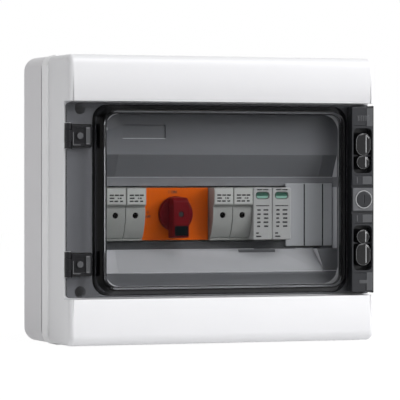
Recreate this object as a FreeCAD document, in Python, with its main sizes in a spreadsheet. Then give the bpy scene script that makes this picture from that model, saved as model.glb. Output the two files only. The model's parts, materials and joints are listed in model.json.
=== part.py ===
import FreeCAD, Part
import os
import re
import Sketcher

# Solar combiner box: wall case, cover with a smoked door, and the switchgear on its rail.
# X runs to the right, Y into the wall and Z up. The origin is on the wall, midway between
# the four fixing holes. "Forward" is the distance from the wall towards the viewer.

SIZES = [
    ("case_width", 278, "outside width over the cover's lip"),
    ("case_height", 244, "outside height"),
    ("wall", 2.6, "moulded wall"),
    ("base_side_step", 2.2, "how far the base's sides stand inside the lip"),
    ("base_depth", 50, "depth of the base shell"),
    ("base_corner", 12, "corner radius of the base"),
    ("base_rear_bevel", 2.5, "bevel at the wall edge"),
    ("seal_height", 8, "height of the seal between base and cover"),
    ("seal_inset", 1, "how far that seal lies inside the base's face"),
    ("cover_depth", 70, "depth of the cover, to the face of its two bands"),
    ("lip_proud", 1.4, "how far the lip stands out from the cover"),
    ("lip_depth", 15, "depth of the lip"),
    ("lip_corner", 10, "corner radius of the lip"),
    ("lip_bevel", 1, "bevel of the lip's edges"),
    ("band_round", 9, "rounding at the top and bottom of the face"),
    ("side_round", 4.5, "rounding of the cover's corners"),
    ("channel_height", 164, "height of the channel that takes the door"),
    ("channel_deep", 13.8, "depth of that channel behind the bands"),
    ("row_centre", -12, "height of the rail"),
    ("pan_left_margin", 11.6, "sunk pan from the dome's left side"),
    ("pan_right_margin", 6, "sunk pan from the dome's right side"),
    ("pan_end_margin", 7.5, "sunk pan from the dome's top and bottom"),
    ("pan_corner", 15, "corner radius of the pan"),
    ("pan_deep", 3.2, "depth of the pan behind the channel's floor"),
    ("sill_deep", 10, "depth of the sill behind the pan"),
    ("sill_wall", 2.5, "thickness of the sill"),
    ("sill_inset", 0.5, "sill inside the pan's sides"),
    ("sill_above", 50, "top of the sill above the rail's middle"),
    ("sill_below", 49, "bottom of the sill below the rail's middle"),
    ("ramp_inset", 14, "sloping ramps inside the pan's sides"),
    ("ramp_above", 31, "foot of the upper ramp above the rail's middle"),
    ("ramp_below", 30, "foot of the lower ramp below the rail's middle"),
    ("slot_inset", 1, "rail opening inside the pan's sides"),
    ("slot_height", 47, "height of the rail opening"),
    ("label_width", 38, "label field in the pan"),
    ("label_height", 11, "height of that field"),
    ("label_deep", 0.6, "depth of that field"),
    ("label_across", 36.5, "middle of the field from the pan's left side"),
    ("label_down", 15, "middle of the field from the pan's top"),
    ("snap_width", 34, "snap tab at the foot of the lower ramp"),
    ("snap_height", 3, "height of that tab's recess"),
    ("snap_across", 57, "middle of the tab from the ramp's right end"),
    ("screw_inset", 15, "cover screws from the case's sides"),
    ("screw_end_inset", 6, "cover screws from the channel's top and bottom"),
    ("screw_shank", 4, "cover screw shank"),
    ("screw_head", 8, "cover screw head"),
    ("screw_head_height", 4, "height of that head"),
    ("screw_bite", 20, "how far a cover screw goes into the base"),
    ("screw_hole", 24, "depth of its hole in the base"),
    ("screw_play", 0.4, "play of the cover screws in their holes"),
    ("well_bore", 9.6, "wells of the cover screws"),
    ("well_wall", 1.6, "wall round a well"),
    ("well_seat", 14, "thickness of a well's foot"),
    ("post_width", 11, "square posts of the base under those wells"),
    ("fixing_inset", 21, "wall fixing holes from the case's sides"),
    ("fixing_end_inset", 18, "wall fixing holes from its top and bottom"),
    ("fixing_bore", 5.5, "wall fixing holes"),
    ("knockout", 14, "radius of the knock-outs at the bottom"),
    ("knockout_deep", 0.8, "how far a knock-out is sunk"),
    ("knockout_pitch", 62, "spacing of the knock-outs"),
    ("door_gap", 0.8, "door's clearance at the back"),
    ("door_side_gap", 0.6, "door's clearance inside the cover's sides"),
    ("door_end_gap", 1.2, "door's clearance in the channel"),
    ("door_plate", 3, "thickness of the door's plate"),
    ("door_corner", 3, "corner radius of the door"),
    ("dome_gap", 0.2, "gap between the dome and the latch column"),
    ("dome_end_inset", 1.3, "dome inside the door's top and bottom"),
    ("dome_rise", 10.6, "dome above the plate"),
    ("dome_lean_side", 6.2, "how far the dome's ends lean in"),
    ("dome_lean_end", 4.3, "how far its top and bottom lean in"),
    ("dome_corner", 13, "corner radius of the dome"),
    ("dome_bevel", 2.4, "bevel of the dome's front"),
    ("dome_wall", 2.6, "thickness of the dome's front"),
    ("dome_rim", 7, "width of the dome's rim, which bears on the seal"),
    ("seal_width", 4.4, "width of the door seal"),
    ("seal_groove", 1.2, "depth of its groove"),
    ("seal_press", 0.25, "gap of the seal under the rim"),
    ("column_edge", 0.2, "latch column inside the cover's side"),
    ("column_width", 21.2, "width of the latch column"),
    ("column_rise", 11, "column above the door's plate"),
    ("column_skin", 2.4, "skin of the column"),
    ("column_corner", 2, "corner radius of the column"),
    ("mark_deep", 0.8, "depth of the column's grip marks"),
    ("bay_width", 18.2, "latch bays in the column"),
    ("bay_height", 39, "height of a latch bay"),
    ("bay_corner", 4, "corner radius of a bay"),
    ("bay_middle", 41.5, "height of a bay's middle"),
    ("latch_width", 15, "width of a latch"),
    ("latch_long", 20.6, "long lobe of a latch"),
    ("latch_long_out", 5.5, "middle of the long lobe beyond the bay's middle"),
    ("latch_lobe", 6.6, "radius of the round lobe"),
    ("latch_lobe_in", 9.7, "middle of the round lobe short of the bay's middle"),
    ("latch_lift", 3.8, "back of a latch above the door's plate"),
    ("latch_thick", 8, "thickness of a latch"),
    ("latch_bevel", 1.5, "bevel of a latch"),
    ("latch_recess_width", 6, "finger recess in the long lobe"),
    ("latch_recess_height", 11, "height of that recess"),
    ("latch_recess_deep", 1.6, "depth of that recess"),
    ("latch_rib", 1.6, "rib across that recess"),
    ("latch_pivot_in", 4.1, "pivot of a latch short of the bay's middle"),
    ("latch_pivot_lift", 2.8, "that pivot above the latch's back"),
    ("latch_pin", 2.4, "latch pin"),
    ("pin_play", 0.1, "running clearance of a pin"),
    ("pin_land", 0.5, "plastic of the column at a pin's ends"),
    ("tongue_width", 5, "tongue of a latch"),
    ("tongue_tall", 4.6, "height of the tongue"),
    ("tongue_deep", 4.7, "how far the tongue goes into the cover"),
    ("keeper_width", 7.4, "slots that take the tongue"),
    ("keeper_height", 12.5, "height of those slots"),
    ("keeper_lift", 2.4, "middle of a slot beyond the pivot"),
    ("plug_radius", 7.3, "lock plug in the column"),
    ("plug_play", 0.3, "play round the lock plug"),
    ("plug_height", 2.6, "thickness of the lock plug"),
    ("plug_sink", 1.2, "how far the lock plug is sunk"),
    ("plug_bevel", 0.8, "bevel of the lock plug"),
    ("hinge_up", 53.2, "height of the hinges"),
    ("hinge_inset", 3.4, "hinge axis from the case's side"),
    ("hinge_lift", 0.6, "hinge axis above the door's plate"),
    ("hinge_barrel", 2.8, "radius of the hinge barrels"),
    ("hinge_pin", 2.4, "hinge pin"),
    ("hinge_height", 21, "height of a hinge"),
    ("hinge_middle", 9.8, "height of the door's barrel"),
    ("hinge_joint", 0.3, "gap between barrels"),
    ("hinge_foot", 3.8, "width of a bracket's foot"),
    ("hinge_leaf", 17.4, "square leaf in the door"),
    ("leaf_gap", 0.4, "leaf from the barrel"),
    ("leaf_lift", 1.2, "leaf's face above the door's plate"),
    ("leaf_panel", 10.4, "sunk panel in the leaf"),
    ("leaf_panel_height", 13, "height of that panel"),
    ("leaf_panel_deep", 0.9, "depth of that panel"),
    ("leaf_panel_shift", 1.6, "panel from the leaf's middle"),
    ("leaf_boss", 3.2, "radius of the boss in the panel"),
    ("leaf_boss_rise", 0.3, "boss above the leaf's face"),
    ("hinge_cut", 21.8, "height of the door's cut-out for a hinge"),
    ("part_gap", 0.3, "gap between neighbouring pieces"),
    ("rail_end_gap", 16.2, "gap at the rail's ends"),
    ("rail_width", 35, "width of the rail"),
    ("rail_rise", 7.5, "height of the rail"),
    ("rail_sheet", 1, "thickness of the rail's steel"),
    ("rail_channel", 25, "width of the rail's channel"),
    ("rail_fixing_inset", 18, "rail's screws from its ends"),
    ("rail_screw", 4, "rail screw"),
    ("rail_screw_length", 14, "rail screw under the head"),
    ("rail_screw_head", 2.6, "height of its head"),
    ("rail_post", 18, "width of the posts under the rail"),
    ("rail_slot", 15, "length of the rail's slots"),
    ("shoulder_gap", 5.1, "devices' shoulders behind the cover's inner face"),
    ("shoulder_rise", 45.9, "devices' shoulders above the rail's back"),
    ("nose_rise", 22.2, "devices' faces above their shoulders"),
    ("nose_height", 44.4, "height of the devices' noses"),
    ("module", 17.75, "width of one fuse holder"),
    ("row_gap", 0.5, "gap at the ends of the row"),
    ("switch_width", 60.5, "width of the rotary isolator"),
    ("arrester", 17.5, "width of one surge arrester"),
    ("blank_height", 53.4, "height of the blanking strip"),
    ("blank_drop", 1.1, "strip's middle below the rail's middle"),
    ("blank_thick", 2.2, "thickness of the blanking strip"),
    ("blank_step", 17.1, "spacing of its break lines"),
    ("blank_line", 1, "width and depth of a break line"),
    ("blank_hook", 1.6, "hooks behind the strip"),
    ("device_height", 82, "height of the devices on the rail"),
    ("rail_hook", 1.1, "how far a device's hooks reach under the rail"),
    ("hook_sink", 2.5, "room of the hooks above the rail's back"),
    ("hook_wall", 6, "thickness of a device at its hooks"),
    ("hook_deep", 10.5, "devices' flat back above the rail's back"),
    ("terminal_well", 6.4, "square well over a terminal screw"),
    ("terminal_deep", 5, "depth of that well"),
    ("terminal_inset", 7, "wells from a device's top and bottom"),
    ("carrier_lift", 1.6, "back of a fuse carrier above the shoulders"),
    ("grip_top", 10.6, "top of the carrier's finger groove"),
    ("grip_bottom", 7, "bottom of that groove"),
    ("grip_deep", 2.6, "depth of that groove"),
    ("slope_start", -11, "where the carrier's front starts to slope"),
    ("slope_deep", 8, "how far the carrier's foot stands back"),
    ("foot_bevel", 3, "bevel at the carrier's rear foot"),
    ("carrier_hole", 2.6, "radius of the lamp hole in a carrier"),
    ("carrier_hole_deep", 4, "depth of that hole"),
    ("cradle_width", 12.4, "cradle behind a carrier"),
    ("cradle_end", 1.4, "end walls of the cradle"),
    ("fuse_radius", 5.15, "fuse link"),
    ("fuse_length", 38, "length of the fuse link"),
    ("fuse_sink", 7.4, "fuse link's axis behind the shoulders"),
    ("cavity_width", 13.4, "cavity of a fuse holder"),
    ("cavity_deep", 9, "room of the cavity behind the fuse link's axis"),
    ("cavity_top", 24.8, "top of the cavity above the rail's middle"),
    ("plate_lift", 8.6, "face of the orange plate above the shoulders"),
    ("plate_thick", 3, "thickness of the orange plate"),
    ("disc_radius", 15, "disc of the rotary handle"),
    ("disc_rise", 5, "disc's face above the plate"),
    ("disc_bevel", 1.2, "bevel of the disc"),
    ("handle_rise", 11, "handle's bar above the disc"),
    ("handle_width", 14.4, "width of that bar"),
    ("handle_bevel", 1.6, "bevel along the bar"),
    ("handle_slant", 2, "slant of the bar's ends"),
    ("handle_foot", -19.5, "foot of the bar below the rail's middle"),
    ("handle_head", 13.6, "top of the bar above the rail's middle"),
    ("handle_screw_head", 4.8, "head of the handle's screw"),
    ("handle_screw_sink", 2.6, "how far that screw's seat is sunk"),
    ("handle_screw_shank", 3, "shank of that screw"),
    ("handle_seat", 6, "end of the shaft's socket behind the handle's face"),
    ("shaft", 6, "square shaft of the isolator"),
    ("shaft_play", 0.2, "play of the shaft"),
    ("shaft_sink", 12, "shaft behind the shoulders"),
    ("lock_tab_width", 11.6, "padlock slide in the handle"),
    ("lock_tab_height", 8, "height of that slide"),
    ("lock_tab_deep", 7, "depth of that slide"),
    ("lock_tab_middle", -14, "middle of the slide below the rail's middle"),
    ("lock_tab_hole", 2.2, "radius of the padlock's hole in the slide"),
    ("cartridge_corner", 1.6, "corner radius of a surge cartridge"),
    ("cartridge_bevel", 0.7, "bevel of its face"),
    ("cartridge_neck", 12.8, "width of its neck"),
    ("cartridge_sink", 13.4, "end of that neck behind the shoulders"),
    ("cartridge_neck_height", 34, "height of that neck"),
    ("window_width", 11.4, "indicator window"),
    ("window_height", 5.2, "height of the indicator window"),
    ("window_up", 15.6, "indicator window above the rail's middle"),
    ("window_deep", 1.6, "depth of that window"),
    ("flag_thick", 0.6, "thickness of the flag in the window"),
    ("flag_play", 0.1, "play round the flag"),
    ("bar_length", 84, "earth bar"),
    ("bar_height", 9, "height of the earth bar"),
    ("bar_thick", 6, "thickness of the earth bar"),
    ("bar_end_gap", 34, "earth bar's middle above the case's bottom"),
    ("bar_forward", 16, "wall to the back of the earth bar"),
    ("bar_posts", 66, "spacing of the bar's posts"),
    ("bar_post", 12, "width of a post"),
    ("bar_screws", 5, "number of clamp screws on the bar"),
    ("bar_screw", 5.4, "head of a clamp screw"),
    ("bar_screw_rise", 2, "height of that head"),
]

# Widths and places that follow from the sizes.
PLACES = {
    "base_width": "case_width - 2 * base_side_step",
    "cover_width": "case_width - 2 * lip_proud",
    "cover_height": "case_height - 2 * lip_proud",
    "cover_start": "base_depth + seal_height",
    "band_face": "cover_start + cover_depth",
    "channel_floor": "band_face - channel_deep",
    "pan_floor": "channel_floor - pan_deep",
    "sill_floor": "pan_floor - sill_deep",
    "inner_depth": "sill_floor - sill_wall",
    "screw_across": "case_width - 2 * screw_inset",
    "screw_up": "channel_height - 2 * screw_end_inset",
    "well_floor": "cover_start + well_seat",
    "fixing_across": "case_width - 2 * fixing_inset",
    "fixing_up": "case_height - 2 * fixing_end_inset",
    "door_width": "cover_width - 2 * door_side_gap",
    "door_height": "channel_height - 2 * door_end_gap",
    "door_back": "channel_floor + door_gap",
    "door_front": "door_back + door_plate",
    "column_right": "cover_width / 2 - column_edge",
    "column_middle": "column_right - column_width / 2",
    "column_face": "door_front + column_rise",
    "latch_back": "door_front + latch_lift",
    "latch_front": "latch_back + latch_thick",
    "latch_pivot_up": "bay_middle - latch_pivot_in",
    "latch_pivot_forward": "latch_back + latch_pivot_lift",
    "keeper_up": "latch_pivot_up + keeper_lift",
    "hinge_x": "hinge_inset - case_width / 2",
    "hinge_forward": "door_front + hinge_lift",
    "leaf_left": "hinge_x + hinge_barrel + leaf_gap",
    "leaf_middle": "leaf_left + hinge_leaf / 2",
    "leaf_front": "door_front + leaf_lift",
    "hinge_end": "leaf_left + hinge_leaf + part_gap",
    "dome_left": "hinge_end + part_gap / 3",
    "dome_right": "column_right - column_width - dome_gap",
    "dome_width": "dome_right - dome_left",
    "dome_height": "door_height - 2 * dome_end_inset",
    "dome_middle": "(dome_left + dome_right) / 2",
    "dome_front": "door_front + dome_rise",
    "pan_left": "dome_left + pan_left_margin",
    "pan_right": "dome_right - pan_right_margin",
    "pan_top": "dome_height / 2 - pan_end_margin",
    "pan_middle": "(pan_left + pan_right) / 2",
    "sill_top": "row_centre + sill_above",
    "sill_bottom": "row_centre - sill_below",
    "ramp_top": "row_centre + ramp_above",
    "ramp_bottom": "row_centre - ramp_below",
    "ramp_length": "pan_right - pan_left - 2 * ramp_inset",
    "slot_left": "pan_left + slot_inset",
    "row_left": "slot_left + row_gap",
    "slot_right": "pan_right - slot_inset",
    "rail_length": "base_width - 2 * wall - 2 * rail_end_gap",
    "rail_fixings": "rail_length - 2 * rail_fixing_inset",
    "device_shoulder": "inner_depth - shoulder_gap",
    "device_front": "device_shoulder + nose_rise",
    "rail_back": "device_shoulder - shoulder_rise",
    "rail_front": "rail_back + rail_rise",
    "carrier_back": "device_shoulder + carrier_lift",
    "fuse_forward": "device_shoulder - fuse_sink",
    "plate_front": "device_shoulder + plate_lift",
    "plate_back": "plate_front - plate_thick",
    "disc_front": "plate_front + disc_rise",
    "handle_front": "disc_front + handle_rise",
    "shaft_bore": "shaft * 0.75",
    "lock_tab_up": "row_centre + lock_tab_middle",
    "window_centre": "row_centre + window_up",
    "bar_up": "bar_end_gap - case_height / 2",
    "bar_front": "bar_forward + bar_thick",
}

doc = FreeCAD.newDocument("combiner_box")
sheet = doc.addObject("Spreadsheet::Sheet", "Sizes")
for row, (alias, amount, note) in enumerate(SIZES, start=1):
    sheet.set("A%d" % row, note)
    sheet.set("B%d" % row, str(amount))
    sheet.setAlias("B%d" % row, alias)
doc.recompute()
pieces = []
cuts = []


def linked(expression):
    """The same expression with each size read from the sheet and each place spelled out."""
    return re.sub(r"[a-z]\w*", lambda word: spelled(word.group(0)), str(expression))


def spelled(name):
    return "(%s)" % linked(PLACES[name]) if name in PLACES else "Sizes." + name


def amount_of(expression):
    return float(pieces[0].evalExpression(linked(expression)))


def bind(item, name, expression):
    item.setExpression(name, linked(expression))


def new_body(label):
    body = doc.addObject("PartDesign::Body", label)
    body.Label = label
    pieces.append(body)
    return body


def sketch_on(body, plane, offset):
    sketch = body.newObject("Sketcher::SketchObject", body.Label + "_sketch")
    support = [item for item in body.Origin.OriginFeatures if item.Role == plane][0]
    sketch.AttachmentSupport = (support, [""])
    sketch.MapMode = "FlatFace"
    for axis, expression in zip("xyz", offset):
        bind(sketch, "AttachmentOffset.Base." + axis, expression)
    return sketch


def constrain(sketch, kind, places, expression):
    index = sketch.addConstraint(Sketcher.Constraint(kind, *places, amount_of(expression)))
    bind(sketch, "Constraints[%d]" % index, expression)


def point(x, y):
    return FreeCAD.Vector(x, y, 0)


def add_rectangle(sketch, width, height, radius):
    """A rectangle with round corners, centred on the sketch's origin."""
    first = sketch.GeometryCount
    half_x = amount_of(width) / 2
    half_y = amount_of(height) / 2
    corner = amount_of(radius)
    centres = [(half_x - corner, corner - half_y), (half_x - corner, half_y - corner),
               (corner - half_x, half_y - corner), (corner - half_x, corner - half_y)]
    ways = [(0, -1), (1, 0), (0, 1), (-1, 0)]
    for turn in range(4):
        start = centres[turn - 1]
        end = centres[turn]
        out = ways[turn]
        line = Part.LineSegment(point(start[0] + corner * out[0], start[1] + corner * out[1]),
                                point(end[0] + corner * out[0], end[1] + corner * out[1]))
        sketch.addGeometry(line)
        circle = Part.Circle(point(*end), FreeCAD.Vector(0, 0, 1), corner)
        angle = (turn - 1) * 1.5707963267948966
        sketch.addGeometry(Part.ArcOfCircle(circle, angle, angle + 1.5707963267948966))
    for turn in range(4):
        line = first + 2 * turn
        following = first + (2 * turn + 2) % 8
        sketch.addConstraint(Sketcher.Constraint("Tangent", line, 2, line + 1, 1))
        sketch.addConstraint(Sketcher.Constraint("Tangent", line + 1, 2, following, 1))
        side = "Horizontal" if turn % 2 == 0 else "Vertical"
        sketch.addConstraint(Sketcher.Constraint(side, line))
    for turn in range(1, 4):
        sketch.addConstraint(Sketcher.Constraint("Equal", first + 1, first + 1 + 2 * turn))
    sketch.addConstraint(Sketcher.Constraint("Symmetric", first + 1, 3, first + 5, 3, -1, 1))
    constrain(sketch, "DistanceX", (first + 6, 1, first + 2, 1), width)
    constrain(sketch, "DistanceY", (first, 1, first + 4, 1), height)
    constrain(sketch, "Radius", (first + 1,), radius)


def add_circle(sketch, x, y, radius):
    centre = point(amount_of(x), amount_of(y))
    index = sketch.addGeometry(Part.Circle(centre, FreeCAD.Vector(0, 0, 1), amount_of(radius)))
    constrain(sketch, "DistanceX", (-1, 1, index, 3), x)
    constrain(sketch, "DistanceY", (-1, 1, index, 3), y)
    constrain(sketch, "Radius", (index,), radius)


def add_polygon(sketch, corners):
    """Straight sides through corners, each placed from the sketch's origin."""
    first = sketch.GeometryCount
    places = [point(amount_of(x), amount_of(y)) for x, y in corners]
    count = len(corners)
    for index in range(count):
        sketch.addGeometry(Part.LineSegment(places[index], places[(index + 1) % count]))
    for index in range(count):
        following = first + (index + 1) % count
        sketch.addConstraint(Sketcher.Constraint("Coincident", first + index, 2, following, 1))
        constrain(sketch, "DistanceX", (-1, 1, first + index, 1), corners[index][0])
        constrain(sketch, "DistanceY", (-1, 1, first + index, 1), corners[index][1])


def box_corners(left, right, low, high):
    return [(left, low), (right, low), (right, high), (left, high)]


def middle_box(x, z, width, height):
    """Left, right, low and high of a rectangle about a point."""
    return ("%s - (%s) / 2" % (x, width), "%s + (%s) / 2" % (x, width),
            "%s - (%s) / 2" % (z, height), "%s + (%s) / 2" % (z, height))


def pad(body, sketch, length, both_ways=False):
    feature = body.newObject("PartDesign::Pad", body.Label + "_pad")
    feature.Profile = sketch
    feature.Midplane = both_ways
    bind(feature, "Length", length)


def pocket(body, sketch, length, forward=False, both_ways=False):
    """Cut back towards the wall, or forward from it."""
    feature = body.newObject("PartDesign::Pocket", body.Label + "_pocket")
    feature.Profile = sketch
    feature.Reversed = forward
    feature.Midplane = both_ways
    bind(feature, "Length", length)
    cuts.append(feature)


def loft(body, sketches, cut):
    kind = "PartDesign::SubtractiveLoft" if cut else "PartDesign::AdditiveLoft"
    feature = body.newObject(kind, body.Label + "_loft")
    feature.Profile = sketches[0]
    feature.Sections = sketches[1:]
    feature.Ruled = True


def dress(body, kind, name, amount, chosen):
    """Round or bevel the edges whose box passes the test."""
    doc.recompute()
    names = ["Edge%d" % index for index, edge in enumerate(body.Shape.Edges, start=1)
             if chosen(edge.BoundBox)]
    before = body.Tip
    feature = body.newObject("PartDesign::" + kind, body.Label + "_" + kind.lower())
    feature.Base = (before, names)
    bind(feature, name, amount)


def fillet(body, radius, chosen):
    dress(body, "Fillet", "Radius", radius, chosen)


def chamfer(body, width, chosen):
    dress(body, "Chamfer", "Size", width, chosen)


def near(first, second):
    return abs(first - second) < 0.01


def at_forward(box, forward):
    return near(box.YMin, -forward) and near(box.YMax, -forward)


def rectangle_pad(body, centre, size, start, end):
    """A block with round corners between two distances from the wall."""
    sketch = sketch_on(body, "XZ_Plane", (centre[0], centre[1], start))
    add_rectangle(sketch, *size)
    pad(body, sketch, "(%s) - (%s)" % (end, start))


def bevelled_pad(body, centre, size, start, end, bevel):
    """A block with round corners whose front edge is bevelled all round."""
    width, height, radius = size
    rectangle_pad(body, centre, size, start, "(%s) - %s" % (end, bevel))
    small = ("%s - 2 * %s" % (width, bevel), "%s - 2 * %s" % (height, bevel),
             "%s - %s" % (radius, bevel))
    sections = []
    for forward, outline in (("(%s) - %s" % (end, bevel), size), (end, small)):
        sections.append(sketch_on(body, "XZ_Plane", (centre[0], centre[1], forward)))
        add_rectangle(sections[-1], *outline)
    loft(body, sections, cut=False)


def rectangle_pocket(body, centre, size, front, back):
    """A pocket with round corners, cut from the front towards the wall."""
    sketch = sketch_on(body, "XZ_Plane", (centre[0], centre[1], front))
    add_rectangle(sketch, *size)
    pocket(body, sketch, "(%s) - (%s)" % (front, back))


def box_pad(body, sides, start, end):
    sketch = sketch_on(body, "XZ_Plane", ("0", "0", start))
    add_polygon(sketch, box_corners(*sides))
    pad(body, sketch, "(%s) - (%s)" % (end, start))


def box_pocket(body, sides, front, back):
    sketch = sketch_on(body, "XZ_Plane", ("0", "0", front))
    add_polygon(sketch, box_corners(*sides))
    pocket(body, sketch, "(%s) - (%s)" % (front, back))


def circles_on(body, forward, places, radius):
    sketch = sketch_on(body, "XZ_Plane", ("0", "0", forward))
    for x, y in places:
        add_circle(sketch, x, y, radius)
    return sketch


def profile_pad(body, across, width, corners):
    """Corners as (forward, up), drawn from the side and padded both ways from across."""
    sketch = sketch_on(body, "YZ_Plane", ("0", "0", across))
    add_polygon(sketch, [("-(%s)" % forward, up) for forward, up in corners])
    pad(body, sketch, width, both_ways=True)


def profile_pocket(body, across, width, corners):
    sketch = sketch_on(body, "YZ_Plane", ("0", "0", across))
    add_polygon(sketch, [("-(%s)" % forward, up) for forward, up in corners])
    pocket(body, sketch, width, both_ways=True)


def side_circle(body, across, forward, up, radius):
    sketch = sketch_on(body, "YZ_Plane", ("0", "0", across))
    add_circle(sketch, "-(%s)" % forward, up, radius)
    return sketch


def four_places(across, up):
    return [("%s * %s / 2" % (side, across), "%s * %s / 2" % (end, up))
            for side in (-1, 1) for end in (-1, 1)]


def rod(name, radius, length, place, axis):
    """A plain round rod from place along axis."""
    item = doc.addObject("Part::Cylinder", name)
    bind(item, "Radius", radius)
    bind(item, "Height", length)
    turns = {"up": FreeCAD.Rotation(), "right": FreeCAD.Rotation(FreeCAD.Vector(0, 1, 0), 90),
             "forward": FreeCAD.Rotation(FreeCAD.Vector(1, 0, 0), 90)}
    item.Placement = FreeCAD.Placement(FreeCAD.Vector(), turns[axis])
    for letter, expression in zip("xyz", place):
        bind(item, "Placement.Base." + letter, expression)
    return item


def named(label, items):
    """One node of one or more separate solids."""
    node = items[0]
    if len(items) > 1:
        node = doc.addObject("Part::Compound", label)
        node.Links = items
    node.Label = label
    pieces.append(node)
    return node


def screw(name, x, z, seat, head, head_height, shank, length):
    """A cylinder-head screw whose head stands forward of its seat."""
    cap = rod(name + "_head", head + " / 2", head_height, (x, "-(%s)" % seat, z), "forward")
    stem_place = (x, "-(%s) + %s" % (seat, length), z)
    stem = rod(name + "_stem", shank + " / 2", length, stem_place, "forward")
    whole = doc.addObject("Part::MultiFuse", name)
    whole.Shapes = [cap, stem]
    return whole


def make_base():
    body = new_body("base_shell")
    rectangle_pad(body, ("0", "0"), ("base_width", "case_height", "base_corner"), "0", "base_depth")
    chamfer(body, "base_rear_bevel", lambda box: at_forward(box, 0))
    inner = ("base_width - 2 * wall", "case_height - 2 * wall", "base_corner - wall")
    rectangle_pocket(body, ("0", "0"), inner, "base_depth", "wall")
    posts = four_places("screw_across", "screw_up")
    for x, z in posts:
        box_pad(body, middle_box(x, z, "post_width", "post_width"), "wall / 2", "cover_start")
    rail_posts = [("%d * rail_fixings / 2" % side, "row_centre") for side in (-1, 1)]
    for x, z in rail_posts:
        box_pad(body, middle_box(x, z, "rail_post", "rail_channel - 4 * rail_sheet"), "wall / 2",
                "rail_back")
    bar_supports = [("%d * bar_posts / 2" % side, "bar_up") for side in (-1, 1)]
    for x, z in bar_supports:
        box_pad(body, middle_box(x, z, "bar_post", "bar_post"), "wall / 2", "bar_forward")
    pocket(body, circles_on(body, "cover_start", posts, "(screw_shank + screw_play) / 2"),
           "screw_hole")
    pocket(body, circles_on(body, "rail_back", rail_posts, "rail_screw / 2 + pin_play"),
           "rail_screw_length + 2")
    fixings = four_places("fixing_across", "fixing_up")
    pocket(body, circles_on(body, "wall", fixings, "fixing_bore / 2"), "wall")
    sketch = sketch_on(body, "XY_Plane", ("0", "-base_depth / 2", "-case_height / 2"))
    for step in (-1, 0, 1):
        add_circle(sketch, "%d * knockout_pitch" % step, "0", "knockout")
    pocket(body, sketch, "knockout_deep", forward=True)


def make_cover():
    body = new_body("cover_frame")
    box_pad(body, middle_box("0", "0", "cover_width", "cover_height"), "cover_start", "band_face")
    face = amount_of("band_face")
    fillet(body, "band_round", lambda box: at_forward(box, face) and near(box.ZLength, 0))
    fillet(body, "side_round", lambda box: at_forward(box, face) and near(box.XLength, 0))
    lip = ("case_width", "case_height", "lip_corner")
    rectangle_pad(body, ("0", "0"), lip, "cover_start", "cover_start + lip_depth")
    half_width = amount_of("case_width") / 2
    top = amount_of("case_height") / 2
    chamfer(body, "lip_bevel", lambda box: near(box.YLength, 0) and
           (near(max(-box.XMin, box.XMax), half_width) or near(max(-box.ZMin, box.ZMax), top)))
    box_pocket(body, middle_box("0", "0", "2 * case_width", "channel_height"), "band_face",
               "channel_floor")
    hollow_cover(body)
    pan = ("pan_right - pan_left", "2 * pan_top", "pan_corner")
    rectangle_pocket(body, ("pan_middle", "0"), pan, "channel_floor", "pan_floor")
    box_pocket(body, ("pan_left + sill_inset", "pan_right - sill_inset", "sill_bottom", "sill_top"),
               "pan_floor", "sill_floor")
    for foot, edge, beyond in (("ramp_top", "sill_top", "+ 1"), ("ramp_bottom", "sill_bottom", "- 1")):
        corners = [("sill_floor - 1", foot), ("sill_floor", foot), ("pan_floor", edge),
                   ("pan_floor", edge + beyond), ("sill_floor - 1", edge + beyond)]
        profile_pad(body, "pan_middle", "ramp_length", corners)
    tab = "pan_right - ramp_inset - snap_across"
    box_pocket(body, (tab + " - snap_width / 2", tab + " + snap_width / 2",
                      "ramp_bottom - snap_height", "ramp_bottom"), "pan_floor", "sill_floor")
    middle = "row_centre"
    box_pocket(body, ("slot_left", "slot_right", middle + " - slot_height / 2",
                      middle + " + slot_height / 2"), "pan_floor", "inner_depth - 1")
    seal = sketch_on(body, "XZ_Plane", ("dome_middle", "0", "channel_floor"))
    add_seal_rings(seal)
    pocket(body, seal, "seal_groove")
    finish_cover(body)


def hollow_cover(body):
    """Thin walls behind the bands, the channel and the pan."""
    inside = ("cover_width - 2 * wall", "cover_height - 2 * wall", "wall")
    rectangle_pocket(body, ("0", "0"), inside, "inner_depth", "cover_start")
    band_low = "channel_height / 2 + wall"
    band_high = "cover_height / 2 - band_round / 2 - wall / 4"
    for low, high in ((band_low, band_high), ("-(%s)" % band_high, "-(%s)" % band_low)):
        box_pocket(body, ("2 * wall - cover_width / 2", "cover_width / 2 - 2 * wall", low, high),
                   "band_face - 1.3 * wall", "inner_depth - 1")
    outer = "(cover_width / 2 - wall)"
    flank = "screw_up / 2 - well_bore / 2 - 2 * well_wall"
    for left, right in (("-" + outer, "pan_left - wall"), ("pan_right + wall", outer)):
        box_pocket(body, (left, right, "-(%s)" % flank, flank), "channel_floor - wall",
                   "inner_depth - 1")
    shelf = "channel_height / 2 - wall"
    for low, high in (("sill_top + wall", shelf), ("-(%s)" % shelf, "sill_bottom - wall")):
        box_pocket(body, ("pan_left", "pan_right", low, high), "pan_floor - wall",
                   "inner_depth - 1")


def finish_cover(body):
    """Screw columns and wells, the label field and the slots for the latch tongues."""
    wells = four_places("screw_across", "screw_up")
    for x, z in wells:
        outside = "well_bore + 2 * well_wall"
        box_pad(body, middle_box(x, z, outside, outside), "cover_start + part_gap",
                "inner_depth + part_gap")
    pocket(body, circles_on(body, "channel_floor", wells, "well_bore / 2"),
           "channel_floor - well_floor")
    pocket(body, circles_on(body, "well_floor", wells, "(screw_shank + screw_play) / 2"),
           "well_seat")
    box_pocket(body, middle_box("pan_left + label_across", "pan_top - label_down", "label_width",
                                "label_height"), "pan_floor", "pan_floor - label_deep")
    for side in (1, -1):
        box_pocket(body, middle_box("column_middle", "%d * keeper_up" % side, "keeper_width",
                                    "keeper_height"), "channel_floor",
                   "channel_floor - 1.2 * wall")


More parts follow.
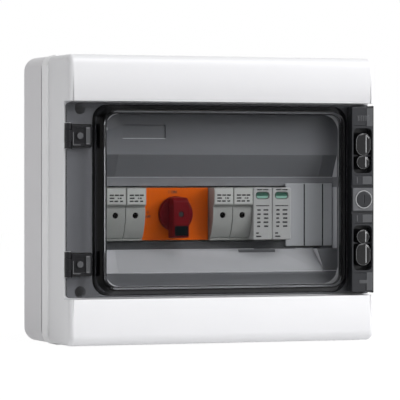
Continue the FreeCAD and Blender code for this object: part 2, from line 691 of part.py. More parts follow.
def add_seal_rings(sketch):
    for inset in ("dome_rim / 2 - seal_width / 2", "dome_rim / 2 + seal_width / 2"):
        add_rectangle(sketch, "dome_width - 2 * (%s)" % inset, "dome_height - 2 * (%s)" % inset,
                      "dome_corner - (%s)" % inset)


def make_seals():
    body = new_body("cover_seal")
    sketch = sketch_on(body, "XZ_Plane", ("0", "0", "base_depth"))
    for step in ("seal_inset", "wall"):
        add_rectangle(sketch, "base_width - 2 * " + step, "case_height - 2 * " + step,
                      "base_corner - " + step)
    pad(body, sketch, "seal_height")
    body = new_body("door_seal")
    sketch = sketch_on(body, "XZ_Plane", ("dome_middle", "0", "channel_floor - seal_groove"))
    add_seal_rings(sketch)
    pad(body, sketch, "seal_groove + door_gap - seal_press")


def make_door():
    body = new_body("door")
    plate = ("door_width", "door_height", "door_corner")
    rectangle_pad(body, ("0", "0"), plate, "door_back", "door_front")
    foot = ("dome_width", "dome_height", "dome_corner")
    crown = ("dome_width - 2 * dome_lean_side", "dome_height - 2 * dome_lean_end", "dome_corner")
    dome_loft(body, ("door_front", foot), ("dome_front", crown), cut=False)
    top = amount_of("dome_front")
    chamfer(body, "dome_bevel", lambda box: at_forward(box, top))
    column = ("column_width", "dome_height", "column_corner")
    rectangle_pad(body, ("column_middle", "0"), column, "door_back", "column_face")
    mouth = ("dome_width - 2 * dome_rim", "dome_height - 2 * dome_rim",
             "dome_corner - dome_rim / 2")
    inside = ("dome_width - 2 * dome_lean_side - 2 * dome_wall",
              "dome_height - 2 * dome_lean_end - 2 * dome_wall", "dome_corner - dome_wall")
    dome_loft(body, ("door_back", mouth), ("dome_front - dome_wall", inside), cut=True)
    cut_latch_bays(body)
    for side in (1, -1):
        up = "%d * hinge_up" % side
        box_pocket(body, ("-door_width / 2 - 1", "hinge_end", up + " - hinge_cut / 2",
                          up + " + hinge_cut / 2"), "door_front", "door_back")


def dome_loft(body, first, second, cut):
    """Between two outlines round the dome's middle, each with its distance from the wall."""
    sections = []
    for forward, outline in (first, second):
        sections.append(sketch_on(body, "XZ_Plane", ("dome_middle", "0", forward)))
        add_rectangle(sections[-1], *outline)
    loft(body, sections, cut)


def cut_latch_bays(body):
    """Two bays for the latches, the hollow back of the column and the lock plug's seat."""
    for side in (1, -1):
        middle = "%d * bay_middle" % side
        rectangle_pocket(body, ("column_middle", middle), ("bay_width", "bay_height", "bay_corner"),
                         "column_face", "door_front")
        box_pocket(body, middle_box("column_middle", "%d * keeper_up" % side, "keeper_width",
                                    "keeper_height"), "door_front", "door_back")
        sketch = side_circle(body, "column_middle", "latch_pivot_forward",
                             "%d * latch_pivot_up" % side, "latch_pin / 2 + pin_play / 2")
        pocket(body, sketch, "column_width - 2 * pin_land", both_ways=True)
    inner = "bay_middle - bay_height / 2 - column_skin"
    outer = "bay_middle + bay_height / 2 + column_skin"
    end = "dome_height / 2 - column_skin"
    left = "column_middle - bay_width / 2"
    right = "column_middle + bay_width / 2"
    hollows = (("-(%s)" % inner, inner), (outer, end), ("-(%s)" % end, "-(%s)" % outer))
    for low, high in hollows:
        box_pocket(body, (left, right, low, high), "column_face - column_skin", "door_back")
    marks = (("dome_height / 2 - 8", "bay_width / 2 + 1", "5"),
             ("bay_middle - bay_height / 2 - 6", "bay_width", "7"))
    for up, width, height in marks:
        for side in (1, -1):
            box_pocket(body, middle_box("column_middle", "%d * (%s)" % (side, up), width, height),
                       "column_face", "column_face - mark_deep")
    seat = circles_on(body, "column_face", [("column_middle", "0")], "plug_radius + plug_play")
    pocket(body, seat, "plug_sink")


def make_latch(name, side):
    body = new_body(name)
    long_up = "%d * (bay_middle + latch_long_out)" % side
    size = ("latch_width", "latch_long", "latch_width / 2 - 0.1")
    bevelled_pad(body, ("column_middle", long_up), size, "latch_back", "latch_front", "latch_bevel")
    lobe_up = "%d * (bay_middle - latch_lobe_in)" % side
    size = ("2 * latch_lobe", "2 * latch_lobe", "latch_lobe - 0.1")
    bevelled_pad(body, ("column_middle", lobe_up), size, "latch_back", "latch_front", "latch_bevel")
    box_pocket(body, middle_box("column_middle", long_up, "latch_recess_width",
                                "latch_recess_height"), "latch_front",
               "latch_front - latch_recess_deep")
    box_pad(body, middle_box("column_middle", long_up, "latch_rib", "latch_recess_height + 2"),
            "latch_back + latch_thick / 2", "latch_front")
    pivot = "%d * latch_pivot_up" % side
    box_pad(body, middle_box("column_middle", "%s + %d" % (pivot, side), "tongue_width",
                             "tongue_tall"), "channel_floor - tongue_deep", "latch_back + 1")
    bore = side_circle(body, "column_middle", "latch_pivot_forward", pivot,
                       "latch_pin / 2 + pin_play")
    pocket(body, bore, "latch_width + 2", both_ways=True)
    end = "column_width / 2 - 2 * pin_land"
    pin = rod(name + "_pin", "latch_pin / 2", "2 * (%s)" % end,
              ("column_middle - (%s)" % end, "-latch_pivot_forward", pivot), "right")
    named(name + "_pin", [pin])


def make_lock_plug():
    body = new_body("lock_plug")
    place = [("column_middle", "0")]
    pad(body, circles_on(body, "column_face - plug_sink", place, "plug_radius"), "plug_height")
    top = amount_of("column_face - plug_sink + plug_height")
    chamfer(body, "plug_bevel", lambda box: at_forward(box, top))


def make_hinge(name, side):
    up = "%d * hinge_up" % side
    bracket = new_body(name + "_bracket")
    upright(bracket, up, "hinge_height", radius="hinge_barrel")
    foot = ("hinge_x - hinge_foot / 2", "hinge_x + hinge_foot / 2", "-hinge_forward",
            "-channel_floor")
    upright(bracket, up, "hinge_height", corners=foot)
    gap = ("hinge_x - 2 * hinge_barrel", "hinge_x + 2 * hinge_barrel",
           "-hinge_forward - 2 * hinge_barrel", "-door_back")
    upright(bracket, up, "hinge_middle + 2 * hinge_joint", corners=gap, cut=True)
    upright(bracket, up, "hinge_height + 2", radius="hinge_pin / 2 + pin_play / 2", cut=True)

    leaf = new_body(name + "_leaf")
    box_pad(leaf, middle_box("leaf_middle", up, "hinge_leaf", "hinge_leaf"),
            "door_back + part_gap", "leaf_front")
    panel = "leaf_middle - leaf_panel_shift"
    box_pocket(leaf, middle_box(panel, up, "leaf_panel", "leaf_panel_height"), "leaf_front",
               "leaf_front - leaf_panel_deep")
    pad(leaf, circles_on(leaf, "leaf_front - leaf_panel_deep - wall / 4", [(panel, up)],
                         "leaf_boss"), "leaf_panel_deep + wall / 4 + leaf_boss_rise")
    box_pad(leaf, ("hinge_x", "leaf_left + 1", up + " - hinge_middle / 2",
                   up + " + hinge_middle / 2"), "hinge_forward - 2", "hinge_forward + 0.5")
    upright(leaf, up, "hinge_middle", radius="hinge_barrel")
    upright(leaf, up, "hinge_height", radius="hinge_pin / 2 + pin_play", cut=True)

    length = "hinge_height - 2 * hinge_joint"
    start = ("hinge_x", "-hinge_forward", up + " - (%s) / 2" % length)
    named(name + "_pin", [rod(name + "_pin", "hinge_pin / 2", length, start, "up")])


def upright(body, up, height, radius=None, corners=None, cut=False):
    """A barrel round the hinge axis, or a block beside it, added or cut about a height."""
    sketch = sketch_on(body, "XY_Plane", ("0", "0", up))
    if radius:
        add_circle(sketch, "hinge_x", "-hinge_forward", radius)
    else:
        add_polygon(sketch, box_corners(*corners))
    if cut:
        pocket(body, sketch, height, both_ways=True)
    else:
        pad(body, sketch, height, both_ways=True)


def make_rail():
    body = new_body("din_rail")
    edge = "rail_width / 2"
    bend = "rail_channel / 2"
    under = "rail_front - rail_sheet"
    inside = "rail_back + rail_sheet"
    corners = [("rail_back", "-" + bend), (under, "-" + bend), (under, "-" + edge),
               ("rail_front", "-" + edge), ("rail_front", "rail_sheet - " + bend),
               (inside, "rail_sheet - " + bend), (inside, bend + " - rail_sheet"),
               ("rail_front", bend + " - rail_sheet"), ("rail_front", edge), (under, edge),
               (under, bend), ("rail_back", bend)]
    corners = [(forward, "row_centre + " + up) for forward, up in corners]
    profile_pad(body, "0", "rail_length", corners)
    slots = sketch_on(body, "XZ_Plane", ("0", "row_centre", inside))
    for step in range(-4, 5):
        x = "%d * rail_fixings / 8" % step
        add_polygon(slots, box_corners(x + " - rail_slot / 2", x + " + rail_slot / 2",
                                       "-rail_screw * 0.7", "rail_screw * 0.7"))
    pocket(body, slots, "rail_sheet + 1")


def make_screws():
    cover_screws = [screw("cover_screw_%d" % index, x, z, "well_floor", "screw_head",
                          "screw_head_height", "screw_shank", "well_seat + screw_bite")
                    for index, (x, z) in enumerate(four_places("screw_across", "screw_up"))]
    named("cover_screws", cover_screws)
    rail_screws = [screw("rail_screw_%d" % side, "%d * rail_fixings / 2" % side, "row_centre",
                         "rail_back + rail_sheet", "rail_screw * 2", "rail_screw_head",
                         "rail_screw", "rail_screw_length")
                   for side in (-1, 1)]
    named("rail_screws", rail_screws)


def device_profile(front):
    """Side view of a device: hooks round the rail, then full height up to its shoulders."""
    half = "device_height / 2"
    under = "rail_front - rail_sheet - part_gap"
    rail_edge = "rail_width / 2 + part_gap"
    hook = "rail_width / 2 - rail_hook"
    behind = "rail_back + hook_sink"
    upper = [("rail_front + part_gap", rail_edge), (under, rail_edge), (under, hook),
             (behind, hook), (behind, "rail_width / 2 + hook_wall"),
             ("rail_back + hook_deep", half), (front, half)]
    up = [(forward, "row_centre + " + high) for forward, high in upper]
    down = [(forward, "row_centre - (%s)" % high) for forward, high in reversed(upper)]
    return up + down


def row_box(across, width, height):
    """Left, right, low and high of a rectangle on the row's middle."""
    return middle_box(across, "row_centre", width, height)


def terminal_wells(body, places):
    """Square wells in the shoulders, over the screws of the terminals."""
    for side in (1, -1):
        middle = "row_centre + %d * (device_height / 2 - terminal_inset)" % side
        for across in places:
            box_pocket(body, middle_box(across, middle, "terminal_well", "terminal_well"),
                       "device_shoulder", "device_shoulder - terminal_deep")


def make_fuse_holder(number, across):
    body = new_body("fuse_body_%d" % number)
    width = "(module - part_gap)"
    profile_pad(body, across, width, device_profile("device_shoulder"))
    cavity = box_corners("fuse_forward - cavity_deep", "device_shoulder",
                         "row_centre - nose_height / 2", "row_centre + cavity_top")
    profile_pocket(body, across, "cavity_width", cavity)
    terminal_wells(body, [across])

    carrier = new_body("fuse_carrier_%d" % number)
    half = "nose_height / 2"
    grip = "device_front - grip_deep"
    front = [("carrier_back", half), ("device_front", half), ("device_front", "grip_top"),
             (grip, "grip_top"), (grip, "grip_bottom"), ("device_front", "grip_bottom"),
             ("device_front", "slope_start"), ("device_front - slope_deep", "-" + half),
             ("carrier_back + foot_bevel", "-" + half), ("carrier_back", "foot_bevel - " + half)]
    profile_pad(carrier, across, width, [(forward, "row_centre + " + up) for forward, up in front])
    box_pad(carrier, row_box(across, "cradle_width", "fuse_length + 2 * cradle_end"),
            "fuse_forward - 2", "carrier_back + 1")
    clear = "(fuse_radius + part_gap)"
    box_pocket(carrier, row_box(across, "2 * " + clear, "fuse_length + 2 * part_gap"),
               "fuse_forward + " + clear, "fuse_forward - 3")
    hole = [(across, "row_centre")]
    pocket(carrier, circles_on(carrier, "device_front", hole, "carrier_hole"), "carrier_hole_deep")

    foot = (across, "-fuse_forward", "row_centre - fuse_length / 2")
    link = "fuse_link_%d" % number
    named(link, [rod(link, "fuse_radius", "fuse_length", foot, "up")])


def make_isolator(across):
    body = new_body("isolator_body")
    width = "(switch_width - part_gap)"
    profile_pad(body, across, width, device_profile("device_shoulder"))
    box_pad(body, row_box(across, width, "nose_height"), "device_shoulder - 1", "plate_back")
    bore = [(across, "row_centre")]
    pocket(body, circles_on(body, "plate_back", bore, "shaft_bore"),
           "plate_back - device_shoulder + shaft_sink + 1")
    terminal_wells(body, [across + " + %s * switch_width / 4.4" % step
                          for step in (-1.5, -0.5, 0.5, 1.5)])

    plate = new_body("isolator_plate")
    box_pad(plate, row_box(across, width, "nose_height - part_gap"), "plate_back", "plate_front")
    pocket(plate, circles_on(plate, "plate_front", bore, "shaft_bore"), "plate_thick")

    make_handle(across, bore)
    spindle = new_body("isolator_shaft")
    box_pad(spindle, row_box(across, "shaft", "shaft"), "device_shoulder - shaft_sink",
            "handle_front - handle_seat - part_gap")
    seat = "handle_front - handle_screw_sink"
    fixing = screw("handle_screw", across, "row_centre", seat, "handle_screw_head",
                   "handle_screw_sink - 1", "handle_screw_shank",
                   "handle_seat - handle_screw_sink")
    named("handle_screw", [fixing])


def make_handle(across, bore):
    """Round disc with a raised bar, and the padlock slide in the bar's foot."""
    handle = new_body("isolator_handle")
    pad(handle, circles_on(handle, "plate_front + part_gap", bore, "disc_radius"),
        "disc_rise - part_gap")
    disc = amount_of("disc_front")
    chamfer(handle, "disc_bevel", lambda box: at_forward(box, disc))
    slant = "handle_front - handle_slant"
    bar = [("disc_front - 1", "handle_foot - 1"), (slant, "handle_foot"),
           ("handle_front", "handle_foot + handle_slant"),
           ("handle_front", "handle_head - handle_slant"), (slant, "handle_head"),
           ("disc_front - 1", "handle_head + 1")]
    profile_pad(handle, across, "handle_width",
                [(forward, "row_centre + " + up) for forward, up in bar])
    front = amount_of("handle_front")
    chamfer(handle, "handle_bevel", lambda box: at_forward(box, front) and near(box.XLength, 0))
    socket = "shaft + 2 * shaft_play"
    box_pocket(handle, row_box(across, socket, socket), "handle_front - handle_seat", "plate_front")
    pocket(handle, circles_on(handle, "handle_front", bore, "handle_screw_head / 2 + shaft_play"),
           "handle_screw_sink")
    pocket(handle, circles_on(handle, "handle_front", bore, "handle_screw_shank / 2 + shaft_play"),
           "handle_seat + 1")
    box_pocket(handle, middle_box(across, "lock_tab_up", "lock_tab_width + 2 * part_gap",
                                  "lock_tab_height + 2 * part_gap"), "handle_front",
               "handle_front - lock_tab_deep - part_gap")

    slide = new_body("padlock_slide")
    box_pad(slide, middle_box(across, "lock_tab_up", "lock_tab_width", "lock_tab_height"),
            "handle_front - lock_tab_deep", "handle_front + part_gap")
    hole = sketch_on(slide, "XY_Plane", ("0", "0", "lock_tab_up"))
    add_circle(hole, across, "lock_tab_deep / 2 - handle_front", "lock_tab_hole")
    pocket(slide, hole, "lock_tab_height + 2", both_ways=True)


def make_arrester(number, across):
    body = new_body("arrester_body_%d" % number)
    width = "(arrester - part_gap)"
    profile_pad(body, across, width, device_profile("device_shoulder"))
    end = "cartridge_neck_height / 2 + part_gap"
    cavity = box_corners("device_shoulder - cartridge_sink - 1", "device_shoulder",
                         "row_centre - (%s)" % end, "row_centre + " + end)
    profile_pocket(body, across, "cartridge_neck + 2 * part_gap", cavity)

    cartridge = new_body("arrester_cartridge_%d" % number)
    rectangle_pad(cartridge, (across, "row_centre"), (width, "nose_height", "cartridge_corner"),
                  "device_shoulder + part_gap", "device_front")
    front = amount_of("device_front")
    chamfer(cartridge, "cartridge_bevel", lambda box: at_forward(box, front))
    box_pad(cartridge, row_box(across, "cartridge_neck", "cartridge_neck_height"),
            "device_shoulder - cartridge_sink", "device_shoulder + 1")
    window = (across, "window_centre")
    size = ("window_width", "window_height", "window_height / 2 - 0.05")
    rectangle_pocket(cartridge, window, size, "device_front", "device_front - window_deep")

    flag = new_body("status_flag_%d" % number)
    size = ("window_width - 2 * flag_play", "window_height - 2 * flag_play",
            "window_height / 2 - flag_play - 0.05")
    rectangle_pad(flag, window, size, "device_front - window_deep",
                  "device_front - window_deep + flag_thick")


def make_blank_strip(left):
    body = new_body("blanking_strip")
    right = "slot_right - row_gap"
    middle = "row_centre - blank_drop"
    low = middle + " - blank_height / 2"
    high = middle + " + blank_height / 2"
    front = "sill_floor + blank_thick"
    box_pad(body, (left, right, low, high), "sill_floor", front)
    lines = int(amount_of("(%s - (%s)) / blank_step" % (right, left)))
    for step in range(1, lines + 1):
        line = left + " + %d * blank_step" % step
        box_pocket(body, (line + " - blank_line / 2", line + " + blank_line / 2", low, high),
                   front, front + " - blank_line")
    edge = "slot_height / 2 - 1"
    ends = (left + " + 2 * blank_hook", right + " - 2 * blank_hook")
    for low, high in (("-(%s)" % edge, "blank_hook - (%s)" % edge),
                      (edge + " - blank_hook", edge)):
        box_pad(body, (ends[0], ends[1], "row_centre + " + low, "row_centre + " + high),
                "inner_depth - 2 * blank_hook", "sill_floor + 1")


def make_earth_bar():
    body = new_body("earth_bar")
    box_pad(body, middle_box("0", "bar_up", "bar_length", "bar_height"), "bar_forward", "bar_front")
    count = int(amount_of("bar_screws"))
    places = ["(%d - (bar_screws - 1) / 2) * bar_length / (bar_screws + 1)" % index
              for index in range(count)]
    clamps = [rod("bar_screw_%d" % index, "bar_screw / 2", "bar_screw_rise",
                  (x, "-bar_front", "bar_up"), "forward") for index, x in enumerate(places)]
    named("earth_bar_screws", clamps)


def stop_if(broken):
    if broken:
        raise RuntimeError("failed: " + ", ".join(broken))


def check_and_export():
    doc.recompute()
    stop_if([item.Label for item in doc.Objects
             if "Invalid" in item.State or "Error" in item.State])
    stop_if([piece.Label for piece in pieces
             if piece.Shape.isNull() or not piece.Shape.isValid()])
    stop_if([cut.Label for cut in cuts
             if cut.Shape.Volume > cut.BaseFeature.Shape.Volume - 0.01])
    os.makedirs("parts", exist_ok=True)
    for piece in pieces:
        piece.Shape.exportStep("parts/%s.step" % piece.Label)
    print(len(pieces), "pieces written")


make_base()
make_cover()
make_seals()
make_door()
make_latch("upper_latch", 1)
make_latch("lower_latch", -1)
make_lock_plug()
make_hinge("upper_hinge", 1)
make_hinge("lower_hinge", -1)
make_rail()
make_screws()
switch_left = "row_left + 2 * module"
right_fuses = switch_left + " + switch_width"
fuse_middles = ["row_left + 0.5 * module", "row_left + 1.5 * module",
                right_fuses + " + 0.5 * module", right_fuses + " + 1.5 * module"]
for position, middle in enumerate(fuse_middles, start=1):
    make_fuse_holder(position, middle)
make_isolator(switch_left + " + switch_width / 2")
arresters = right_fuses + " + 2 * module"
for position in (1, 2):
    make_arrester(position, arresters + " + %s * arrester" % (position - 0.5))
make_blank_strip(arresters + " + 2 * arrester + part_gap")
make_earth_bar()
check_and_export()
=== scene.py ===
import bmesh
import bpy
import json
import math
from mathutils import Matrix, Vector


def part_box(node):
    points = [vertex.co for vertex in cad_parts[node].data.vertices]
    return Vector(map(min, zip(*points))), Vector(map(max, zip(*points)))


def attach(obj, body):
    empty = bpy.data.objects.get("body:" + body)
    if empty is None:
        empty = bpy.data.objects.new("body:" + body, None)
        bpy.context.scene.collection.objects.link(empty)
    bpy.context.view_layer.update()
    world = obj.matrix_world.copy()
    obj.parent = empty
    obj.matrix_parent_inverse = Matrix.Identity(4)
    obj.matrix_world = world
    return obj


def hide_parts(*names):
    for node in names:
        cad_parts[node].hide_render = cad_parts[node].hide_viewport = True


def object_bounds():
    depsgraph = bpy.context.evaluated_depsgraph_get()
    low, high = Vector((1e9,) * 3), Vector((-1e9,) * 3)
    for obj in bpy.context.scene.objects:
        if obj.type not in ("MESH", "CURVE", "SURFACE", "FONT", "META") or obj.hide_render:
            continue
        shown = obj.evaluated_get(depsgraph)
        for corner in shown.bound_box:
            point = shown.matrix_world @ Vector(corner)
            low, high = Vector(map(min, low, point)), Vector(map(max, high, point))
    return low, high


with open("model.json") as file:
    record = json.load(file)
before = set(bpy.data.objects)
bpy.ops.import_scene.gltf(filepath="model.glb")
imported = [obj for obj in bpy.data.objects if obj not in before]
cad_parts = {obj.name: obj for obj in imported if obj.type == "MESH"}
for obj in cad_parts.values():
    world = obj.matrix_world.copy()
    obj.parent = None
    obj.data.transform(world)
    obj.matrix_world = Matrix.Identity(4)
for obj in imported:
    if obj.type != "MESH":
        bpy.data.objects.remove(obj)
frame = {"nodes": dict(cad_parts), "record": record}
cadLow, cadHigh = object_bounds()
mm = 0.001
across, deep = 0, 1  # the frame's axes: X to the right, Y into the wall, Z up
bodies = frame["record"]["behaviour"]["bodies"]
bodyOf = {each: body for body, nodes in bodies.items() for each in nodes}
slotOf = {item["node"]: item["material_slot"] for item in frame["record"]["subparts"]}


# shaders: a value that is another node's socket is linked, any other is set

def feed(tree, socket, value):
    if isinstance(value, bpy.types.NodeSocket):
        tree.links.new(value, socket)
    else:
        socket.default_value = value


def node(tree, kind, x, y, inputs=None, **settings):
    made = tree.nodes.new(kind)
    made.location = (x, y)
    for name, value in settings.items():
        setattr(made, name, value)
    for name, value in (inputs or {}).items():
        feed(tree, made.inputs[name], value)
    return made


def maths(tree, operation, x, y, *values):
    made = node(tree, "ShaderNodeMath", x, y, dict(enumerate(values)), operation=operation)
    return made.outputs[0]


def noise(tree, x, y, place, scale, detail):
    made = node(tree, "ShaderNodeTexNoise", x, y,
                {"Vector": place, "Scale": scale, "Detail": detail})
    return made.outputs["Fac"]


def stretch(tree, x, y, value, before=(0, 1), after=(0, 1)):
    made = node(tree, "ShaderNodeMapRange", x, y,
                {"Value": value, "From Min": before[0], "From Max": before[1],
                 "To Min": after[0], "To Max": after[1]})
    return made.outputs["Result"]


# scales of the noise, shares of a finish's roughness, and the rounded edge with its painted
# highlight and the grain in metres
moulding = {"cloud": 22, "smudge": 70, "gloss": (0.85, 1.15), "edge": 0.0006,
            "edgeTurn": (0.995, 0.75), "grain": 0.0001}


def makeMouldedGroup():
    tree = bpy.data.node_groups.new("mouldedSurface", "ShaderNodeTree")
    for way, name, kind in (("INPUT", "Color", "Color"), ("INPUT", "Shade Spread", "Float"),
                            ("INPUT", "Roughness", "Float"), ("INPUT", "Grain Scale", "Float"),
                            ("INPUT", "Grain Depth", "Float"), ("INPUT", "Edge Highlight", "Float"),
                            ("OUTPUT", "Color", "Color"), ("OUTPUT", "Roughness", "Float"),
                            ("OUTPUT", "Normal", "Vector")):
        tree.interface.new_socket(name=name, in_out=way, socket_type="NodeSocket" + kind)
    given = node(tree, "NodeGroupInput", -1100, 0).outputs
    place = node(tree, "ShaderNodeTexCoord", -1100, -300).outputs["Object"]
    # slow clouds in the tone
    cloud = noise(tree, -800, 200, place, moulding["cloud"], 3)
    swing = maths(tree, "SUBTRACT", -600, 200, cloud, 0.5)
    shade = maths(tree, "MULTIPLY_ADD", -400, 200, swing, given["Shade Spread"], 1)
    # a painted highlight: edges are painted paler where the rounded normal turns from the plain
    # one
    edgeBevel = node(tree, "ShaderNodeBevel", -800, -500, {"Radius": moulding["edge"]}, samples=4)
    rounded = edgeBevel.outputs["Normal"]
    plain = node(tree, "ShaderNodeNewGeometry", -800, -700).outputs["Normal"]
    turn = node(tree, "ShaderNodeVectorMath", -600, -600, {0: rounded, 1: plain},
                operation="DOT_PRODUCT")
    edge = stretch(tree, -400, -600, turn.outputs["Value"], before=moulding["edgeTurn"])
    tone = maths(tree, "MULTIPLY_ADD", -200, -400, edge, given["Edge Highlight"], shade)
    tinted = node(tree, "ShaderNodeVectorMath", 100, 200, {0: given["Color"], "Scale": tone},
                  operation="SCALE")
    # smudges in the gloss
    smudge = noise(tree, -800, -50, place, moulding["smudge"], 4)
    gloss = stretch(tree, -400, -50, smudge, after=moulding["gloss"])
    rough = maths(tree, "MULTIPLY", -100, -50, gloss, given["Roughness"])
    # fine grain over the whole surface
    grain = noise(tree, -400, -250, place, given["Grain Scale"], 2)
    relief = node(tree, "ShaderNodeBump", 500, -250,
                  {"Strength": given["Grain Depth"], "Distance": moulding["grain"],
                   "Height": grain, "Normal": rounded})
    node(tree, "NodeGroupOutput", 900, 0,
         {"Color": tinted.outputs["Vector"], "Roughness": rough,
          "Normal": relief.outputs["Normal"]})
    return tree


mouldedGroup = makeMouldedGroup()


def emptyMaterial(name):
    material = bpy.data.materials.new(name)
    material.use_nodes = True
    tree = material.node_tree
    return material, tree, tree.nodes["Principled BSDF"]


# edge sets how much paler the edges are painted, a painted highlight
def moulded(name, color, roughness, spread=0.04, grain=1600, depth=0.12, edge=0.12, metal=0.0,
            shine=0.5):
    material, tree, shader = emptyMaterial(name)
    surface = node(tree, "ShaderNodeGroup", -400, 0,
                   {"Color": (*color, 1), "Shade Spread": spread, "Roughness": roughness,
                    "Grain Scale": grain, "Grain Depth": depth, "Edge Highlight": edge},
                   node_tree=mouldedGroup).outputs
    for socket, value in (("Base Color", surface["Color"]), ("Roughness", surface["Roughness"]),
                          ("Normal", surface["Normal"]), ("Metallic", metal),
                          ("Specular IOR Level", shine)):
        feed(tree, shader.inputs[socket], value)
    return material


smoke = {"bending": 1.49, "smudge": 40, "gloss": (0.6, 1.5)}


def smoked(name, color, roughness, shadow, shine):
    material, tree, shader = emptyMaterial(name)
    place = node(tree, "ShaderNodeTexCoord", -900, 0).outputs["Object"]
    smudge = noise(tree, -700, 0, place, smoke["smudge"], 3)
    low, high = smoke["gloss"]
    gloss = stretch(tree, -400, 0, smudge, after=(roughness * low, roughness * high))
    for socket, value in (("Base Color", (*color, 1)), ("Transmission Weight", 1),
                          ("IOR", smoke["bending"]), ("Roughness", gloss),
                          ("Specular Tint", (shine, shine, shine, 1))):
        feed(tree, shader.inputs[socket], value)
    # the lamps reach the inside through a plain tint
    ray = node(tree, "ShaderNodeLightPath", -100, 400)
    clear = node(tree, "ShaderNodeBsdfTransparent", -100, -300,
                 {"Color": (shadow, shadow, shadow, 1)})
    mixed = node(tree, "ShaderNodeMixShader", 400, 100,
                 {"Fac": ray.outputs["Is Shadow Ray"], 1: shader.outputs["BSDF"],
                  2: clear.outputs["BSDF"]})
    finish = tree.nodes["Material Output"]
    finish.location = (700, 100)
    feed(tree, finish.inputs["Surface"], mixed.outputs["Shader"])
    return material


# finishes for the material slots of the frame that are used as they are
finishes = {
    "black_plastic": moulded("blackPlastic", (0.012, 0.012, 0.014), 0.3, spread=0.3, edge=1.6,
                             shine=0.15),
    "seal_rubber": moulded("sealRubber", (0.012, 0.012, 0.013), 0.7, spread=0.2, grain=2500,
                           depth=0.4),
    "zinc_steel": moulded("zincSteel", (0.6, 0.61, 0.63), 0.3, spread=0.1, metal=1.0, depth=0.2),
    "device_grey": moulded("deviceGrey", (0.456, 0.462, 0.442), 0.42, spread=0.05, edge=0.5,
                           shine=0.25),
    "fuse_ceramic": moulded("fuseCeramic", (0.8, 0.78, 0.72), 0.25, spread=0.06),
    "orange_plastic": moulded("orangePlastic", (0.925, 0.15, 0.0014), 0.38, spread=0.06,
                              shine=0.1),
    "red_plastic": moulded("redPlastic", (0.175, 0.0023, 0.007), 0.3, spread=0.12, edge=0.5,
                           shine=0.1),
    "blank_grey": moulded("blankGrey", (0.544, 0.551, 0.571), 0.45, spread=0.05, edge=0.5,
                          shine=0.3),
    "bar_brass": moulded("barBrass", (0.72, 0.53, 0.24), 0.25, spread=0.1, metal=1.0),
}

# the case and its small metal
# the base shell is painted darker than the cover, painted shade on its side
baseGrey = moulded("baseGrey", (0.75, 0.74, 0.765), 0.36, spread=0.02, edge=0.05)
burnished = moulded("burnishedSteel", (0.05, 0.05, 0.055), 0.4, metal=1.0)
screwBlack = moulded("screwBlack", (0.016, 0.017, 0.019), 0.25, spread=0.3, edge=2.0)
# a pale colour for painted highlights along edges
paleHighlight = moulded("paleHighlight", (0.68, 0.68, 0.7), 0.3, spread=0.3)

# the devices
deviceBody = moulded("deviceBody", (0.49, 0.503, 0.49), 0.45, edge=0.5, shine=0.2)
cartridgeGrey = moulded("cartridgeGrey", (0.544, 0.544, 0.537), 0.42, edge=0.4, shine=0.25)
labelPale = moulded("labelPale", (0.639, 0.646, 0.619), 0.45, spread=0.05, shine=0.25)
darkPrint = moulded("darkPrint", (0.03, 0.03, 0.032), 0.6, spread=0.2)
flagGreen = moulded("flagGreen", (0.03, 0.17, 0.11), 0.2, spread=0.5, edge=0.4, shine=0.6)
# dark green for the ring of painted shade round the flags' windows
flagRimShade = moulded("flagRimShade", (0.006, 0.03, 0.02), 0.3, spread=0.3, edge=1.0)
holeBlack = moulded("holeBlack", (0.004, 0.004, 0.004), 0.8, depth=0.0, shine=0.03)
tabBlack = moulded("tabBlack", (0.001, 0.005, 0.006), 0.45, edge=0.8, shine=0.02)

# the door with its column, latches and hinges
windowSmoke = smoked("windowSmoke", (0.592, 0.6, 0.608), 0.03, 0.86, shine=0.06)
# darker copies of the window's smoke for the dome's sides and the plate, painted shade
rimSmokeShaded = smoked("rimSmokeShaded", (0.005, 0.005, 0.006), 0.06, 0.6, shine=0.08)
stripSmoke = smoked("stripSmoke", (0.265, 0.27, 0.285), 0.05, 0.75, shine=0.4)
# the dark plastic of the column and the lock cap, used also for painted shade marks
darkPlasticAndShade = moulded("darkPlasticAndShade", (0.026, 0.027, 0.031), 0.22, spread=0.35, edge=1.5, shine=0.3)
panelDark = moulded("panelDark", (0.11, 0.112, 0.12), 0.25, spread=0.3, edge=0.8, shine=0.4)
latchBlack = moulded("latchBlack", (0.005, 0.005, 0.006), 0.07, spread=0.3, edge=4, shine=0.35)
# pale colours for the latches' lips and ribs, painted highlights
lipHighlight = moulded("lipHighlight", (0.2, 0.202, 0.21), 0.12, spread=1.8, edge=1.0, shine=0.6)
ribPale = moulded("ribPale", (0.5, 0.505, 0.52), 0.15, spread=1.2, shine=0.6)
# a pale grey for glints painted on the hinges
glintGrey = moulded("glintGrey", (0.15, 0.152, 0.16), 0.2, spread=0.8, edge=0.5)
ringPale = moulded("ringPale", (0.42, 0.425, 0.44), 0.2, spread=0.8, shine=0.6)
barGrey = moulded("barGrey", (0.085, 0.087, 0.093), 0.25, spread=0.3, edge=0.8, shine=0.3)
print("materials done")


# tools for the pieces, with sizes in millimetres: x, how far forward of the wall, z

# degrees: smooth below, merged as flat below, rounded off above
turns = {"smooth": 38, "flat": 1.2, "sharp": 30}


def spot(x, forward, z):
    return Vector((x * mm, -forward * mm, z * mm))


def about(middle, under, over=None):
    return (middle - under, middle + (under if over is None else over))


def mirrored(side, low, high):
    return tuple(sorted((side * low, side * high)))


def block(x, forward, z):
    made = bmesh.new()
    bmesh.ops.create_cube(made, size=1)
    size = ((x[1] - x[0]) * mm, (forward[1] - forward[0]) * mm, (z[1] - z[0]) * mm)
    bmesh.ops.scale(made, vec=size, verts=made.verts)
    centre = spot(sum(x) / 2, sum(forward) / 2, sum(z) / 2)
    bmesh.ops.translate(made, vec=centre, verts=made.verts)
    return made


